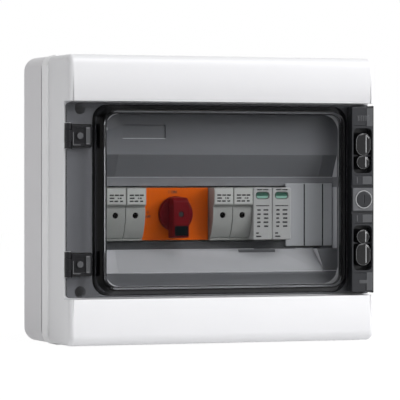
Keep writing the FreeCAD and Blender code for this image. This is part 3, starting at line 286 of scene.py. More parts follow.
def roundEdges(made, edges, radius, segments=3):
    bmesh.ops.bevel(made, geom=edges, offset=radius * mm, offset_type="OFFSET", affect="EDGES",
                    segments=segments, profile=0.5, material=-1, clamp_overlap=True)


def edgesAlong(made, axis):
    found = []
    for edge in made.edges:
        run = edge.verts[1].co - edge.verts[0].co
        if abs(run[axis]) > 0.999 * run.length:
            found.append(edge)
    return found


def edgesAt(made, forward):
    return [edge for edge in made.edges
            if all(abs(vert.co.y + forward * mm) < 0.00002 for vert in edge.verts)]


def slab(x, forward, z, corner, edge, segments=6):
    made = block(x, forward, z)
    if corner:
        roundEdges(made, edgesAlong(made, deep), corner, segments)
    if edge:
        roundEdges(made, edgesAt(made, forward[1]), edge)
    return made


def standUp(made, verts):
    upright = Matrix.Rotation(math.radians(90), 3, "X")
    bmesh.ops.rotate(made, cent=(0, 0, 0), matrix=upright, verts=verts)


def disc(x, forward, z, radius, edge=0.0, sides=48):
    made = bmesh.new()
    bmesh.ops.create_cone(made, cap_ends=True, segments=sides, radius1=radius * mm,
                          radius2=radius * mm, depth=(forward[1] - forward[0]) * mm)
    standUp(made, made.verts)
    bmesh.ops.translate(made, vec=spot(x, sum(forward) / 2, z), verts=made.verts)
    if edge:
        roundEdges(made, edgesAt(made, forward[1]), edge)
    return made


def pushedOut(made, verts, along):
    face = made.faces.new(verts)
    pushed = bmesh.ops.extrude_face_region(made, geom=[face])
    moved = [item for item in pushed["geom"] if isinstance(item, bmesh.types.BMVert)]
    bmesh.ops.translate(made, vec=along, verts=moved)
    bmesh.ops.recalc_face_normals(made, faces=made.faces)
    return made


def sidePrism(x, corners):
    made = bmesh.new()
    verts = [made.verts.new(spot(x[0], forward, z)) for forward, z in corners]
    return pushedOut(made, verts, ((x[1] - x[0]) * mm, 0, 0))


def facePrism(corners, forward):
    made = bmesh.new()
    verts = [made.verts.new(spot(x, forward[0], z)) for x, z in corners]
    return pushedOut(made, verts, (0, (forward[0] - forward[1]) * mm, 0))


def roundedLoop(made, width, height, radius, forward, shift):
    before = set(made.verts)
    bmesh.ops.create_grid(made, x_segments=1, y_segments=1, size=0.5)
    verts = [vert for vert in made.verts if vert not in before]
    bmesh.ops.scale(made, vec=(width * mm, height * mm, 1), verts=verts)
    bmesh.ops.bevel(made, geom=verts, offset=radius * mm, offset_type="OFFSET", affect="VERTICES",
                    segments=8, profile=0.5, material=-1)
    verts = [vert for vert in made.verts if vert not in before]
    standUp(made, verts)
    bmesh.ops.translate(made, vec=spot(shift, forward, 0), verts=verts)
    face = [face for face in made.faces if all(vert in verts for vert in face.verts)][0]
    edges = list(face.edges)
    bmesh.ops.delete(made, geom=[face], context="FACES_ONLY")
    return edges


def orderedVerts(edges):
    chain = [edges[0].verts[0], edges[0].verts[1]]
    rest = set(edges[1:])
    while rest:
        following = [edge for edge in rest if chain[-1] in edge.verts][0]
        rest.remove(following)
        chain.append(following.other_vert(chain[-1]))
    return chain[:-1]


# one closed shape through rounded rectangles, each with its own size and distance forward
def stack(levels):
    made = bmesh.new()
    loops = [roundedLoop(made, *level) for level in levels]
    for first, second in zip(loops, loops[1:]):
        bmesh.ops.bridge_loops(made, edges=first + second)
    for loop in (loops[0], loops[-1]):
        made.faces.new(orderedVerts(loop))
    bmesh.ops.recalc_face_normals(made, faces=made.faces)
    return made


def toMesh(made, name):
    mesh = bpy.data.meshes.new(name)
    made.to_mesh(mesh)
    made.free()
    return mesh


def joined(parts):
    whole = bmesh.new()
    for made in parts:
        mesh = toMesh(made, "part")
        whole.from_mesh(mesh)
        bpy.data.meshes.remove(mesh)
    return whole


def placed(name, data):
    obj = bpy.data.objects.new(name, data)
    bpy.context.scene.collection.objects.link(obj)
    return obj


def evaluated(obj):
    bpy.context.view_layer.update()
    graph = bpy.context.evaluated_depsgraph_get()
    return bpy.data.meshes.new_from_object(obj.evaluated_get(graph))


def carve(obj, cutters, operation="DIFFERENCE"):
    for made in cutters:
        tool = placed("tool", toMesh(made, "tool"))
        cut = obj.modifiers.new("carve", "BOOLEAN")
        cut.object = tool
        cut.operation = operation
        cut.solver = "EXACT"
        cut.use_self = False
        mesh = evaluated(obj)
        obj.modifiers.clear()
        old = obj.data
        obj.data = mesh
        bpy.data.meshes.remove(old)
        bpy.data.objects.remove(tool)


def smoothed(obj):
    mesh = obj.data
    mesh.polygons.foreach_set("use_smooth", [True] * len(mesh.polygons))
    mesh.set_sharp_from_angle(angle=math.radians(turns["smooth"]))
    even = obj.modifiers.new("even normals", "WEIGHTED_NORMAL")
    even.keep_sharp = True
    even.weight = 90


def piece(name, made, material, body, replaced=(), added=(), cutters=()):
    obj = placed(name, toMesh(made, name))
    for each in material if isinstance(material, list) else [material]:
        obj.data.materials.append(each)
    carve(obj, added, "UNION")
    carve(obj, cutters)
    smoothed(obj)
    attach(obj, body)
    if replaced:
        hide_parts(*replaced)
    return obj


# a CAD node's own shape with its triangles merged, under the node's name in camel case
def refined(cadNode, material=None, bevel=0.0):
    made = bmesh.new()
    made.from_mesh(frame["nodes"][cadNode].data)
    bmesh.ops.remove_doubles(made, verts=made.verts, dist=0.000004)
    bmesh.ops.dissolve_limit(made, angle_limit=math.radians(turns["flat"]), verts=made.verts,
                             edges=made.edges)
    if bevel:
        sharp = [edge for edge in made.edges if len(edge.link_faces) == 2
                 and edge.calc_face_angle(0) > math.radians(turns["sharp"])]
        roundEdges(made, sharp, bevel, 2)
    first, *words = cadNode.split("_")
    name = first + "".join(word.capitalize() for word in words)
    slotName = slotOf[cadNode]
    return piece(name, made, material or finishes[slotName], bodyOf[cadNode],
                 replaced=[cadNode])


def middleOf(cadNode):
    low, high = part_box(cadNode)
    return (low.x + high.x) / 2 / mm


def lettering(name, words, x, z, forward, height, body):
    curve = bpy.data.curves.new(name, "FONT")
    curve.body = words
    curve.size = height * mm
    curve.align_x = "CENTER"
    curve.align_y = "CENTER"
    curve.extrude = 0.00003
    curve.offset = 0.00012
    drawn = placed(name, curve)
    mesh = evaluated(drawn)
    bpy.data.objects.remove(drawn)
    bpy.data.curves.remove(curve)
    made = bmesh.new()
    made.from_mesh(mesh)
    bpy.data.meshes.remove(mesh)
    standUp(made, made.verts)
    bmesh.ops.translate(made, vec=spot(x, forward, z), verts=made.verts)
    return piece(name, made, darkPrint, body)


# the case

# the cover is one plastic: its tone varies by place, in metres, as light and shade in the photo
pan = {
    "low": (-0.105, -0.1141, -0.0735), "high": (0.112, -0.0985, 0.0735),
    # painted shade: the pan's floor is darker than the cover's plastic
    "floor": (0.156, 0.159, 0.171, 1),
    # painted light and shade: the band above the upper slope, lit at its foot and dim at its top
    "lit": (0.258, 0.261, 0.279, 1), "dim": (0.116, 0.118, 0.129, 1),
    "litHeights": (0.0379, 0.0735), "fade": (0.0379, 0.0675),
    # painted light on faces turned upward
    "ramp": (0.49, 0.49, 0.51, 1), "upward": (0.25, 0.95),
    # painted light on faces turned sideways
    "ends": (0.816, 0.816, 0.843, 1), "sideways": (0.6, 1.1),
    # painted shadow on the sill under the devices
    "sill": (0.048, 0.049, 0.054, 1), "sillShadowHeights": (-0.0422, -0.0345),
    "sillShadowSides": (-0.0985, 0.0985),
    # painted light on the flat band just above the devices
    "shelf": (0.272, 0.275, 0.292, 1), "shelfHeights": (0.0105, 0.0191),
    # painted light on the cover's lip, outside the pan
    "lip": (0.97, 0.97, 0.985, 1), "lipDepths": (-0.0735, -0.0575),
}


def between(tree, value, limits, y):
    over = maths(tree, "GREATER_THAN", -1500, y, value, limits[0])
    under = maths(tree, "LESS_THAN", -1300, y, value, limits[1])
    return maths(tree, "MULTIPLY", -1100, y, over, under)


def blend(tree, factor, first, second, y):
    mixed = node(tree, "ShaderNodeMix", -700, y, {"Factor": factor, "A": first, "B": second},
                 data_type="RGBA")
    return mixed.outputs["Result"]


def splitUp(tree, output, y):
    coordinates = node(tree, "ShaderNodeTexCoord", -1900, y).outputs[output]
    return node(tree, "ShaderNodeSeparateXYZ", -1700, y, {0: coordinates}).outputs


def surfaceColor(tree):
    return [item for item in tree.nodes if item.type == "GROUP"][0].inputs["Color"]


def shadePan(material):
    tree = material.node_tree
    place = splitUp(tree, "Object", 300)
    facing = splitUp(tree, "Normal", 0)
    insideX, insideY, insideZ = [
        between(tree, place[axis], (pan["low"][index], pan["high"][index]), 600 - 200 * index)
        for index, axis in enumerate("XYZ")]
    flat = maths(tree, "MULTIPLY", -900, 500, insideX, insideY)
    inside = maths(tree, "MULTIPLY", -900, 300, flat, insideZ)
    # painted light and shade inside the pan, by height and by how each face turns
    fade = stretch(tree, -1300, -1000, place["Z"], before=pan["fade"])
    tone = blend(tree, fade, pan["lit"], pan["dim"], -1000)
    upper = between(tree, place["Z"], pan["litHeights"], -1200)
    tone = blend(tree, upper, pan["floor"], tone, -1200)
    upward = between(tree, facing["Z"], pan["upward"], 0)
    tone = blend(tree, upward, tone, pan["ramp"], 0)
    sideways = maths(tree, "ABSOLUTE", -1300, -200, facing["X"])
    ends = between(tree, sideways, pan["sideways"], -200)
    tone = blend(tree, ends, tone, pan["ends"], -200)
    long = between(tree, place["Z"], pan["sillShadowHeights"], -400)
    short = between(tree, place["X"], pan["sillShadowSides"], -600)
    sill = maths(tree, "MULTIPLY", -900, -400, long, short)
    tone = blend(tree, sill, tone, pan["sill"], -400)
    shelf = between(tree, place["Z"], pan["shelfHeights"], -800)
    tone = blend(tree, shelf, tone, pan["shelf"], -800)
    color = surfaceColor(tree)
    # painted light on the lip outside the pan
    lip = between(tree, place["Y"], pan["lipDepths"], -1400)
    pale = blend(tree, lip, tuple(color.default_value), pan["lip"], -1400)
    feed(tree, color, blend(tree, inside, pale, tone, 200))


# the cover's plastic, with painted light and shade in the pan and on the lip
coverPlastic = moulded("coverPlastic", (0.83, 0.83, 0.85), 0.36, spread=0.02, edge=0.05)
shadePan(coverPlastic)
refined("cover_frame", coverPlastic)
refined("base_shell", baseGrey)
for cadNode in ("cover_seal", "door_seal", "din_rail", "cover_screws", "rail_screws", "earth_bar",
                "earth_bar_screws", "isolator_shaft"):
    refined(cadNode)
for cadNode in ("upper_hinge_pin", "lower_hinge_pin", "upper_latch_pin", "lower_latch_pin"):
    refined(cadNode, burnished)
refined("handle_screw", screwBlack)

# the sloping ramps of the pan, from the sill up to the face, each from its foot to its crest
slopes = {
    "sill": 101.0, "face": 111.0, "upper": (19, 38), "lower": (-42, -61),
    "sides": (-102.6, 109.6), "ends": (-89.1, 96.1), "cheek": (91.0, 97.5),
    "sunk": 0.5, "shy": 0.05, "under": 0.2,
    # painted highlights as fine pale lines: behind and in front, below and above
    "stripGap": (36.5, 75), "footLine": ((0.2, 0.35), (0.35, 0.2)),
    "crestLine": ((0.3, 0.12), (0.3, 0.25)), "shelfLine": ((0.2, 0.3), (0.25, 0.2)),
}


def makeSlopes():
    sill, face = slopes["sill"], slopes["face"]
    back, front = sill - slopes["sunk"], face - slopes["shy"]
    left, right = slopes["sides"]
    low, high = slopes["ends"]
    ends = []
    for foot, crest in (slopes["upper"], slopes["lower"]):
        beyond = crest + math.copysign(slopes["sunk"], crest)
        corners = [(back, foot), (sill, foot), (front, crest), (front, beyond), (back, beyond)]
        ends.append(sidePrism((left, low), corners))
        if crest > 0:
            ends.append(sidePrism((high, right), corners))
    foot, crest = slopes["lower"]
    near, far = slopes["cheek"]
    below = crest - slopes["under"]
    ends.append(facePrism([(near, foot), (right, foot), (right, below), (far, below)],
                          (back, front)))
    piece("slopeEnds", joined(ends), coverPlastic, "case")
    lines = []
    for name, x, forward, z in (("footLine", (left, slopes["stripGap"][0]), sill, foot),
                                ("footLine", (slopes["stripGap"][1], near), sill, foot),
                                ("crestLine", (left, right), face, crest),
                                ("shelfLine", (left, right), sill, slopes["upper"][0])):
        thick, tall = slopes[name]
        lines.append(block(x, about(forward, *thick), about(z, *tall)))
    piece("slopeEdgeHighlights", joined(lines), paleHighlight, "case")


makeSlopes()

label = {"x": (-85.5, -47.5), "z": (51.5, 62.5), "face": 111.0, "shade": (0.1, 0.35),
         "edge": (0.4, 0.1)}


def makeLabelField():
    (left, right), (low, high) = label["x"], label["z"]
    face = label["face"]
    # painted shade along the top and right of the label's field, and a painted highlight along its
    # foot
    marks = [block((left, right), about(face, 0.1), about(high, *label["shade"])),
             block(about(right, *label["shade"]), about(face, 0.1), (low, high))]
    piece("labelShade", joined(marks), darkPlasticAndShade, "case")
    edge = block((left, right), about(face, 0.1, 0.15), about(low, *label["edge"]))
    piece("labelEdgeHighlight", edge, paleHighlight, "case")


makeLabelField()
print("case done")


# the door with its latches and hinges

door = {
    "back": 115.0, "front": 118.0, "top": 128.6, "shift": 0.7,
    # width, height, corner, and how far forward of the back, the front or the top
    "plateBack": ((273.4, 161.0, 2.7, 0), (274.0, 161.6, 3, 0.3)),
    "plateFront": ((274.0, 161.6, 3, -0.4), (273.3, 160.9, 2.7, 0)),
    "domeFoot": ((230.3, 158.8, 13.1, -0.8), (230.2, 158.7, 13.1, 0), (229.9, 158.4, 13, 0.5)),
    "domeTop": ((219.9, 151.5, 12.4, -1.9), (219.0, 150.7, 12.1, -1.1),
                (217.7, 149.5, 11.5, -0.4), (216.2, 148.1, 10.9, -0.08), (214.6, 146.6, 10.2, 0)),
    "hollowTop": ((211.0, 143.2, 9.0, -2.6), (212.4, 144.5, 9.6, -2.85), (213.2, 145.2, 10, -3.6)),
    "hollowMouth": ((216.4, 145.0, 9.2, 0.6), (217.4, 145.8, 9.6, 0), (217.6, 146.0, 9.7, -0.5)),
    "through": (110, 121), "hinges": 53.2,
    "hingeCuts": (((-140, -132.0), 10.9), ((-134, -114.7), 9.1)),  # sides, half the height
    "slots": (126.8, 39.8), "slot": (3.7, 6.25),  # for the latches' tongues
    "facing": 0.97, "step": 0.3,  # a face turned forward at least this much, and near the plate
}


def levels(rows, forward, shift=0.0):
    return [(width, height, corner, forward + step, shift) for width, height, corner, step in rows]


def makeDoor():
    back, front, top, shift = door["back"], door["front"], door["top"], door["shift"]
    plate = stack(levels(door["plateBack"], back) + levels(door["plateFront"], front))
    dome = stack(levels(door["domeFoot"], front, shift) + levels(door["domeTop"], top, shift))
    hollow = stack(levels(door["hollowTop"], top, shift)
                   + levels(door["hollowMouth"], back, shift))
    cutters = [hollow]
    (slotX, slotZ), (half, tall) = door["slots"], door["slot"]
    for side in (1, -1):
        for sides, reach in door["hingeCuts"]:
            cutters.append(block(sides, door["through"], about(door["hinges"] * side, reach)))
        cutters.append(block(about(slotX, half), door["through"], about(slotZ * side, tall)))
    shell = piece("doorShell", plate, [windowSmoke, rimSmokeShaded, stripSmoke], "door",
                  replaced=["door"], added=[dome], cutters=cutters)
    # the dome's front is the window, and its sides and the plate get darker copies of the smoke,
    # painted shade
    for face in shell.data.polygons:
        if abs(face.normal.y) < door["facing"]:
            face.material_index = 1
        elif -face.center.y / mm < front + door["step"]:
            face.material_index = 2


makeDoor()

column = {
    "x": (116.3, 135.7), "back": 118.02, "face": 129.0, "half": 79.0, "bay": (22.2, 60.8),
    # grooves above and below the middle: sides, depth, lowest and highest
    "grooves": (((115.3, 136.7), 1.6, (10.2, 12.2)), ((117.8, 134.2), 0.8, (20.2, 21.0)),
                ((117.3, 129.5), 0.9, (62.4, 63.4)), ((128.9, 129.5), 0.8, (62.4, 78.0))),
    "edging": ((136.1, 137.5), (118.0, 126.5), (-80.0, 80.0)),
    # raised bars: sides, height over the face, lowest and highest, corner, edge
    "plates": (((129.7, 135.2), 0.2, (62.6, 77.8), 0.5, 0.12),),
    "badge": (((122.9, 129.9), 0.25, (69.0, 71.8), 0.4, 0.12),),
    "bands": (((125.9, 134.5), 0.3, (13.0, 19.6), 0.5, 0.15),
              ((120.5, 121.3), 0.2, (13.6, 19.0), 0.2, 0.1)),
    "fins": (7, 121.2, 1.6, 0.9), "fin": (0.4, (67.0, 71.6), 0, 0.15),
    "panel": ((117.0, 135.2), 9.6), "sunk": 0.2,
}
lock = {"x": 126.8, "well": 7.7, "cap": 7.0, "capFront": 130.4, "ring": (7.02, 7.66),
        "ringFront": 130.1, "slot": (0.6, 3.6), "slotBack": 129.8, "clear": 131}


def raisedBars(rows, side):
    return [slab(x, about(column["face"], column["sunk"], rise), mirrored(side, *z), corner, edge)
            for x, rise, z, corner, edge in rows]


def makeColumn():
    low, high = column["x"]
    face = column["face"]
    body = slab((low, high), (column["back"], face), about(0, column["half"]), 1.6, 0.7)
    cutters = []
    for side in (1, -1):
        cutters.append(slab((low + 1.0, high - 0.9), (118.4, face + 1),
                            mirrored(side, *column["bay"]), 4, 0))
        for x, depth, z in column["grooves"]:
            cutters.append(block(x, about(face, depth, 1), mirrored(side, *z)))
    piece("latchColumn", body, darkPlasticAndShade, "door", cutters=cutters)
    piece("columnEdging", slab(*column["edging"], 0.5, 0.4), latchBlack, "door")
    count, start, pitch, width = column["fins"]
    fins = [((start + step * pitch, start + step * pitch + width), *column["fin"])
            for step in range(count)]
    marks = (raisedBars(column["plates"], 1) + raisedBars(column["plates"], -1)
             + raisedBars(fins, 1) + raisedBars(column["badge"], -1))
    piece("columnMarks", joined(marks), barGrey, "door")
    x, half = column["panel"]
    piece("columnPanel", slab(x, about(face, 0.3, 0.35), about(0, half), 0.8, 0.25), panelDark,
          "door", cutters=[disc(lock["x"], about(face, 1), 0, lock["well"])])
    for side, name in ((1, "columnBandUpper"), (-1, "columnBandLower")):
        piece(name, joined(raisedBars(column["bands"], side)), barGrey, "door")


def makeLock():
    face, clear = column["face"], lock["clear"]
    half, tall = lock["slot"]
    piece("lockCap", disc(lock["x"], (face - 1.2, lock["capFront"]), 0, lock["cap"], edge=0.9),
          darkPlasticAndShade, "door", replaced=["lock_plug"],
          cutters=[block(about(lock["x"], half), (lock["slotBack"], clear), about(0, tall))])
    inner, outer = lock["ring"]
    piece("lockRing", disc(lock["x"], (face - 0.5, lock["ringFront"]), 0, outer, edge=0.3),
          ringPale, "door",
          cutters=[disc(lock["x"], (face - 1, clear), 0, inner)])


makeColumn()
makeLock()

latch = {
    "x": 126.8, "round": 4.6, "sides": 12,
    # lowest and highest, half the width, back and front
    "lobe": ((36.8, 57.2), 7.4, 121.9, 129.8), "button": ((25.3, 38.4), 6.5, 123.3, 129.2),
    "inset": 0.8, "lip": 0.6, "lipDepths": (-2.05, -0.8),
    "tongue": (2.5, (109.6, 122.9), (36.1, 40.7)),
    "ribSides": (128.4, 129.2), "ribs": (((127.6, 129.95), (39.6, 54.4)),
                                         ((127.2, 129.35), (27.6, 36.4))),
}


def makeLobe(name, cadNode, side, kind, replaced=()):
    ends, half, back, front = latch[kind]
    low, high = mirrored(side, *ends)

    def oval(forward, inset, edge=0.0):
        return slab(about(latch["x"], half - inset), forward, (low + inset, high - inset),
                    half - 0.1 - inset, edge, latch["sides"])

    made = oval((back, front), 0)
    roundEdges(made, edgesAt(made, front), latch["round"], 8)
    piece(name, made, latchBlack, cadNode, replaced=replaced)
    # a raised lip round the lobe, painted pale as a painted highlight
    behind, ahead = latch["lipDepths"]
    lip = oval((front + behind, front + ahead), latch["inset"], 0.2)
    middle = oval((front + behind - 1, front + ahead + 1), latch["inset"] + latch["lip"])
    piece(name + "Lip", lip, lipHighlight, cadNode, cutters=[middle])


def makeLatch(name, cadNode, side):
    half, depths, ends = latch["tongue"]
    tongue = slab(about(latch["x"], half), depths, mirrored(side, *ends), 0.5, 0)
    piece(name, tongue, latchBlack, cadNode)
    makeLobe(name + "Lobe", cadNode, side, "lobe", replaced=[cadNode])
    makeLobe(name + "Button", cadNode, side, "button")
    # raised ribs, painted pale as a painted highlight on their crests
    ribs = [slab(latch["ribSides"], depths, mirrored(side, *z), 0.35, 0.25)
            for depths, z in latch["ribs"]]
    piece(name + "Rib", joined(ribs), ribPale, cadNode)


makeLatch("upperLatch", "upper_latch", 1)
makeLatch("lowerLatch", "lower_latch", -1)

# sides, distance forward, and half the height or the heights from the hinge's middle
hinge = {
    "flange": ((-133.4, -114.3), (114.5, 114.98), 9.8),
    "bar": ((-120.2, -116.4), (118.9, 119.45), 7.2),
    "boss": (-125.3, (119.2, 119.8), 2.7),
    # lines: the bar's two pale ends and an L along the leaf's panel, painted highlights
    "lines": (((-120.0, -117.4), (119.2, 119.7), (6.0, 6.8)),
              ((-120.0, -117.4), (119.2, 119.7), (-6.8, -6.0)),
              ((-131.6, -131.0), (118.9, 119.5), (-7.6, 3.0)),
              ((-131.2, -125.0), (118.9, 119.5), (-7.8, -7.3))),
}


def makeHinge(name, side):
    refined(name + "_hinge_bracket", bevel=0.3)
    refined(name + "_hinge_leaf", bevel=0.25)
    middle = door["hinges"] * side
    x, forward, half = hinge["flange"]
    piece(name + "HingeFlange", slab(x, forward, about(middle, half), 1, 0.1), latchBlack, "door")
    x, forward, half = hinge["bar"]
    piece(name + "HingeBar", slab(x, forward, about(middle, half), 0.3, 0.2), barGrey, "door")
    x, forward, radius = hinge["boss"]
    piece(name + "HingeBoss", disc(x, forward, middle, radius, edge=0.3), barGrey, "door")
    # pale marks painted as glints on the hinge
    lines = [slab(x, forward, (middle + low, middle + high), 0.2, 0.15)
             for x, forward, (low, high) in hinge["lines"]]
    piece(name + "HingeGlints", joined(lines), glintGrey, "door")


makeHinge("upper", 1)
makeHinge("lower", -1)
print("door done")


# the devices in the row, with heights from the middle of the row

rowMiddle = -12.0


def inRow(low, high):
    return (rowMiddle + low, rowMiddle + high)


# height, thickness and the ends of the bars in each row of print
def printRows(name, body, x, face, rows):
    bars = []
    for z, height, ends in rows:
        for start, end in ends:
            bars.append(block((x + start, x + end), about(face, 0.05, 0.04),
                              about(rowMiddle + z, height / 2)))
    return piece(name, joined(bars), darkPrint, body)


fuse = {
    "width": 17.2, "front": 115.6,
    # the carrier's outline from the side: forward and up
    "outline": ((95, 22.2), (115.6, 22.2), (115.6, 7.6), (113.2, 7.1), (112.2, 6.3), (112.2, 5.4),
                (113.3, 4.7), (113.25, 1.5), (112.9, -2.0), (112.2, -6.0), (111.0, -10.0),
                (109.4, -14.0), (107.6, -17.4), (106.1, -19.8), (104.3, -20.2), (104.3, -20.8),
                (105.7, -21.2), (105.5, -22.2), (98, -22.2), (95, -19.2)),
    "browRound": 0.7, "sideRound": 0.3, "sideFrom": 97.5,
    "hole": 2.6, "holeUp": -1.0, "holeFace": 112.9,
    # half the width, distance forward, half the height
    "cradle": (6.2, (84, 95.2), 20.4), "bed": (5.45, (83, 91.45), 19.3),
    "field": (8.0, (8.6, 21.3)),
    "print": ((15.9, 1.3, ((-6.0, -2.2), (-1.4, 2.2), (2.8, 6.4))),
              (13.4, 1.2, ((-6.0, -1.8), (1.2, 2.2), (2.8, 4.6))),
              (10.9, 1.2, ((-6.0, -2.6), (-1.8, 1.6), (3.2, 5.8)))),
}


def makeFuse(number):
    cadNode = "fuse_carrier_%d" % number
    grey = finishes["device_grey"]
    middle, front = middleOf(cadNode), fuse["front"]
    made = sidePrism(about(middle, fuse["width"] / 2),
                     [(forward, rowMiddle + z) for forward, z in fuse["outline"]])
    brow = [edge for edge in edgesAlong(made, across) if edge.verts[0].co.y < (0.2 - front) * mm]
    roundEdges(made, brow, fuse["browRound"], 4)
    sides = [edge for edge in made.edges if len(edge.link_faces) == 2
             and edge.calc_face_angle(0) > 1.2 and edge.calc_length() > 0.0008
             and max(vert.co.y for vert in edge.verts) < -fuse["sideFrom"] * mm]
    roundEdges(made, sides, fuse["sideRound"], 2)
    hole, face, radius = rowMiddle + fuse["holeUp"], fuse["holeFace"], fuse["hole"]
    piece("fuseCarrier%d" % number, made, grey, cadNode, replaced=[cadNode],
          cutters=[disc(middle, (face - 1.6, front + 2), hole, radius)])
    # the cradle holds the fuse link in its bed behind the carrier's face
    cradle, bed = [block(about(middle, half), forward, about(rowMiddle, tall))
                   for half, forward, tall in (fuse["cradle"], fuse["bed"])]
    piece("fuseCradle%d" % number, cradle, grey, cadNode, cutters=[bed])
    piece("fuseHole%d" % number, disc(middle, (face - 1.9, face - 1.0), hole, radius + 0.02),
          holeBlack, cadNode)
    half, heights = fuse["field"]
    piece("fuseField%d" % number,
          block(about(middle, half), about(front, 0.05, 0.02), inRow(*heights)), labelPale,
          cadNode)
    printRows("fusePrint%d" % number, cadNode, middle, front, fuse["print"])
    refined("fuse_body_%d" % number, deviceBody, bevel=0.3)
    refined("fuse_link_%d" % number)


for number in (1, 2, 3, 4):
    makeFuse(number)

isolator = {
    "x": -35.75, "shaft": 3.2, "disc": 15.0, "discDepths": (102.3, 107.0), "discEdge": 1.6,
    # the handle's bar from the side: forward and up
    "bar": ((106, -20.3), (118.0, -19.5), (118.0, 10.6), (114.0, 13.6), (106, 14.4)),
    "width": 14.4, "round": 1.3, "roundFrom": 113,
    "slide": (6.1, 110.7, (-18.3, -9.7)), "screw": (2.6, 115.4), "stem": (1.7, 104),
    # the words on the plate: sideways from the handle, up, height
    "face": 102.03, "words": (("markOn", "I  ON", -2, 18.4, 3.2), ("markOff", "O", -24, 1.6, 3.0),
                              ("wordOff", "OFF", -24, -2.2, 2.6)),
}


def makeIsolator():
    refined("isolator_body", deviceBody, bevel=0.3)
    refined("isolator_plate", bevel=0.35)
    x, red, clear = isolator["x"], finishes["red_plastic"], 120
    square = about(x, isolator["shaft"]), about(rowMiddle, isolator["shaft"])
    knob = disc(x, isolator["discDepths"], rowMiddle, isolator["disc"], isolator["discEdge"], 72)
    piece("isolatorDisc", knob, red, "isolator_handle",
          replaced=["isolator_handle"], cutters=[block(square[0], (100, 106), square[1])])
    bar = sidePrism(about(x, isolator["width"] / 2),
                    [(forward, rowMiddle + z) for forward, z in isolator["bar"]])
    rim = [edge for edge in bar.edges
           if min(vert.co.y for vert in edge.verts) < -isolator["roundFrom"] * mm]
    roundEdges(bar, rim, isolator["round"], 4)
    half, bottom, heights = isolator["slide"]
    cutters = [block(about(x, half), (bottom, clear), inRow(*heights))]
    for radius, bottom in (isolator["screw"], isolator["stem"]):
        cutters.append(disc(x, (bottom, clear), rowMiddle, radius))
    cutters.append(block(square[0], (100, 112), square[1]))
    piece("isolatorBar", bar, red, "isolator_handle", cutters=cutters)
    refined("padlock_slide", tabBlack, bevel=0.3)
    for name, words, aside, up, height in isolator["words"]:
        lettering(name, words, x + aside, rowMiddle + up, isolator["face"], height, "case")


makeIsolator()

arrester = {
    "front": 115.6,
    # the flag's tones, the lower one a painted highlight, and where the lower one ends, in metres
    "flagUpper": (0.05, 0.15, 0.105, 1), "flagLower": (0.326, 0.612, 0.49, 1),
    "flagSplit": 0.0031, "gap": 0.1, "frame": 0.6,
    "print": ((20.4, 1.1, ((-5.2, -0.4), (0.4, 5.4))), (6.8, 0.8, ((-6.0, 6.0),)),
              (3.2, 1.3, ((-5.0, -1.8), (0.8, 5.2))), (-0.4, 1.4, ((-5.0, -1.8), (0.8, 5.2))),
              (-3.8, 1.4, ((-5.0, -2.4), (1.3, 5.2))), (-7.2, 1.4, ((-5.0, -1.8), (0.8, 5.2))),
              (-10.6, 1.4, ((-5.0, -2.4), (1.3, 5.2))), (-16.4, 1.2, ((-6.0, -3.4),)),
              (-19.2, 1.2, ((-6.0, -1.2),))),
}


def shadeFlag(material):
    tree = material.node_tree
    # the flag's lower part is painted paler, a painted highlight
    foot = between(tree, splitUp(tree, "Object", 300)["Z"], (0, arrester["flagSplit"]), 200)
    tone = blend(tree, foot, arrester["flagUpper"], arrester["flagLower"], 200)
    feed(tree, surfaceColor(tree), tone)


shadeFlag(flagGreen)


def makeArrester(number):
    cadNode = "arrester_cartridge_%d" % number
    refined("arrester_body_%d" % number, deviceBody, bevel=0.3)
    refined(cadNode, cartridgeGrey, bevel=0.2)
    refined("status_flag_%d" % number, flagGreen)
    low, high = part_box("status_flag_%d" % number)
    front, gap, wide = arrester["front"], arrester["gap"], arrester["frame"]
    x = (low.x / mm - gap, high.x / mm + gap)
    z = (low.z / mm - gap, high.z / mm + gap)
    corner = (z[1] - z[0]) / 2 - 0.1
    # a dark ring round the flag's window, painted shade along the window's edge
    ring = slab((x[0] - wide, x[1] + wide), about(front, 0.2, 0.06), (z[0] - wide, z[1] + wide),
                corner + 0.55, 0.1)
    piece("flagFrame%d" % number, ring, flagRimShade, cadNode,
          cutters=[slab(x, about(front, 1), z, corner, 0)])
    printRows("arresterPrint%d" % number, cadNode, middleOf(cadNode), front, arrester["print"])


makeArrester(1)
makeArrester(2)

strip = {"x": (65.3, 108.5), "z": (-39.8, 13.6), "front": 103.2, "sill": 101.0, "line": 0.575,
         "lines": (82.4, 99.5), "gap": (108.6, 109.9)}


def makeStrip():
    refined("blanking_strip", bevel=0.25)
    (left, right), (low, high) = strip["x"], strip["z"]
    front = strip["front"]
    # painted shade: dark bars in the strip's break grooves
    lines = [block(about(x, strip["line"]), (front - 0.8, front - 0.02), (low + 0.1, high - 0.1))
             for x in strip["lines"]]
    piece("stripLines", joined(lines), darkPlasticAndShade, "case")
    # painted highlight along the strip's top edge
    edge = block((left + 0.4, right - 0.3), about(front, 0.3, 0.06), about(high, 0.5, 0.02))
    piece("stripEdge", edge, paleHighlight, "case")
    # painted shadow in the gap at the strip's right end
    gap = block(strip["gap"], about(strip["sill"], 0.1, 0.15), (low - 0.8, high + 0.4))
    piece("stripGap", gap, darkPlasticAndShade, "case")


makeStrip()
print("devices done")


# floor, camera and lamps

# 1 for rays that show the white itself, 0 for light that it would throw on the object
def seenDirectly(tree):
    ray = node(tree, "ShaderNodeLightPath", -1300, 200).outputs
    seen = maths(tree, "MAXIMUM", -1000, 200, ray["Is Camera Ray"], ray["Is Glossy Ray"])
    every = maths(tree, "MAXIMUM", -800, 200, seen, ray["Is Transmission Ray"])
    fresh = maths(tree, "LESS_THAN", -800, 0, ray["Diffuse Depth"], 0.5)
    return maths(tree, "MULTIPLY", -600, 200, every, fresh)


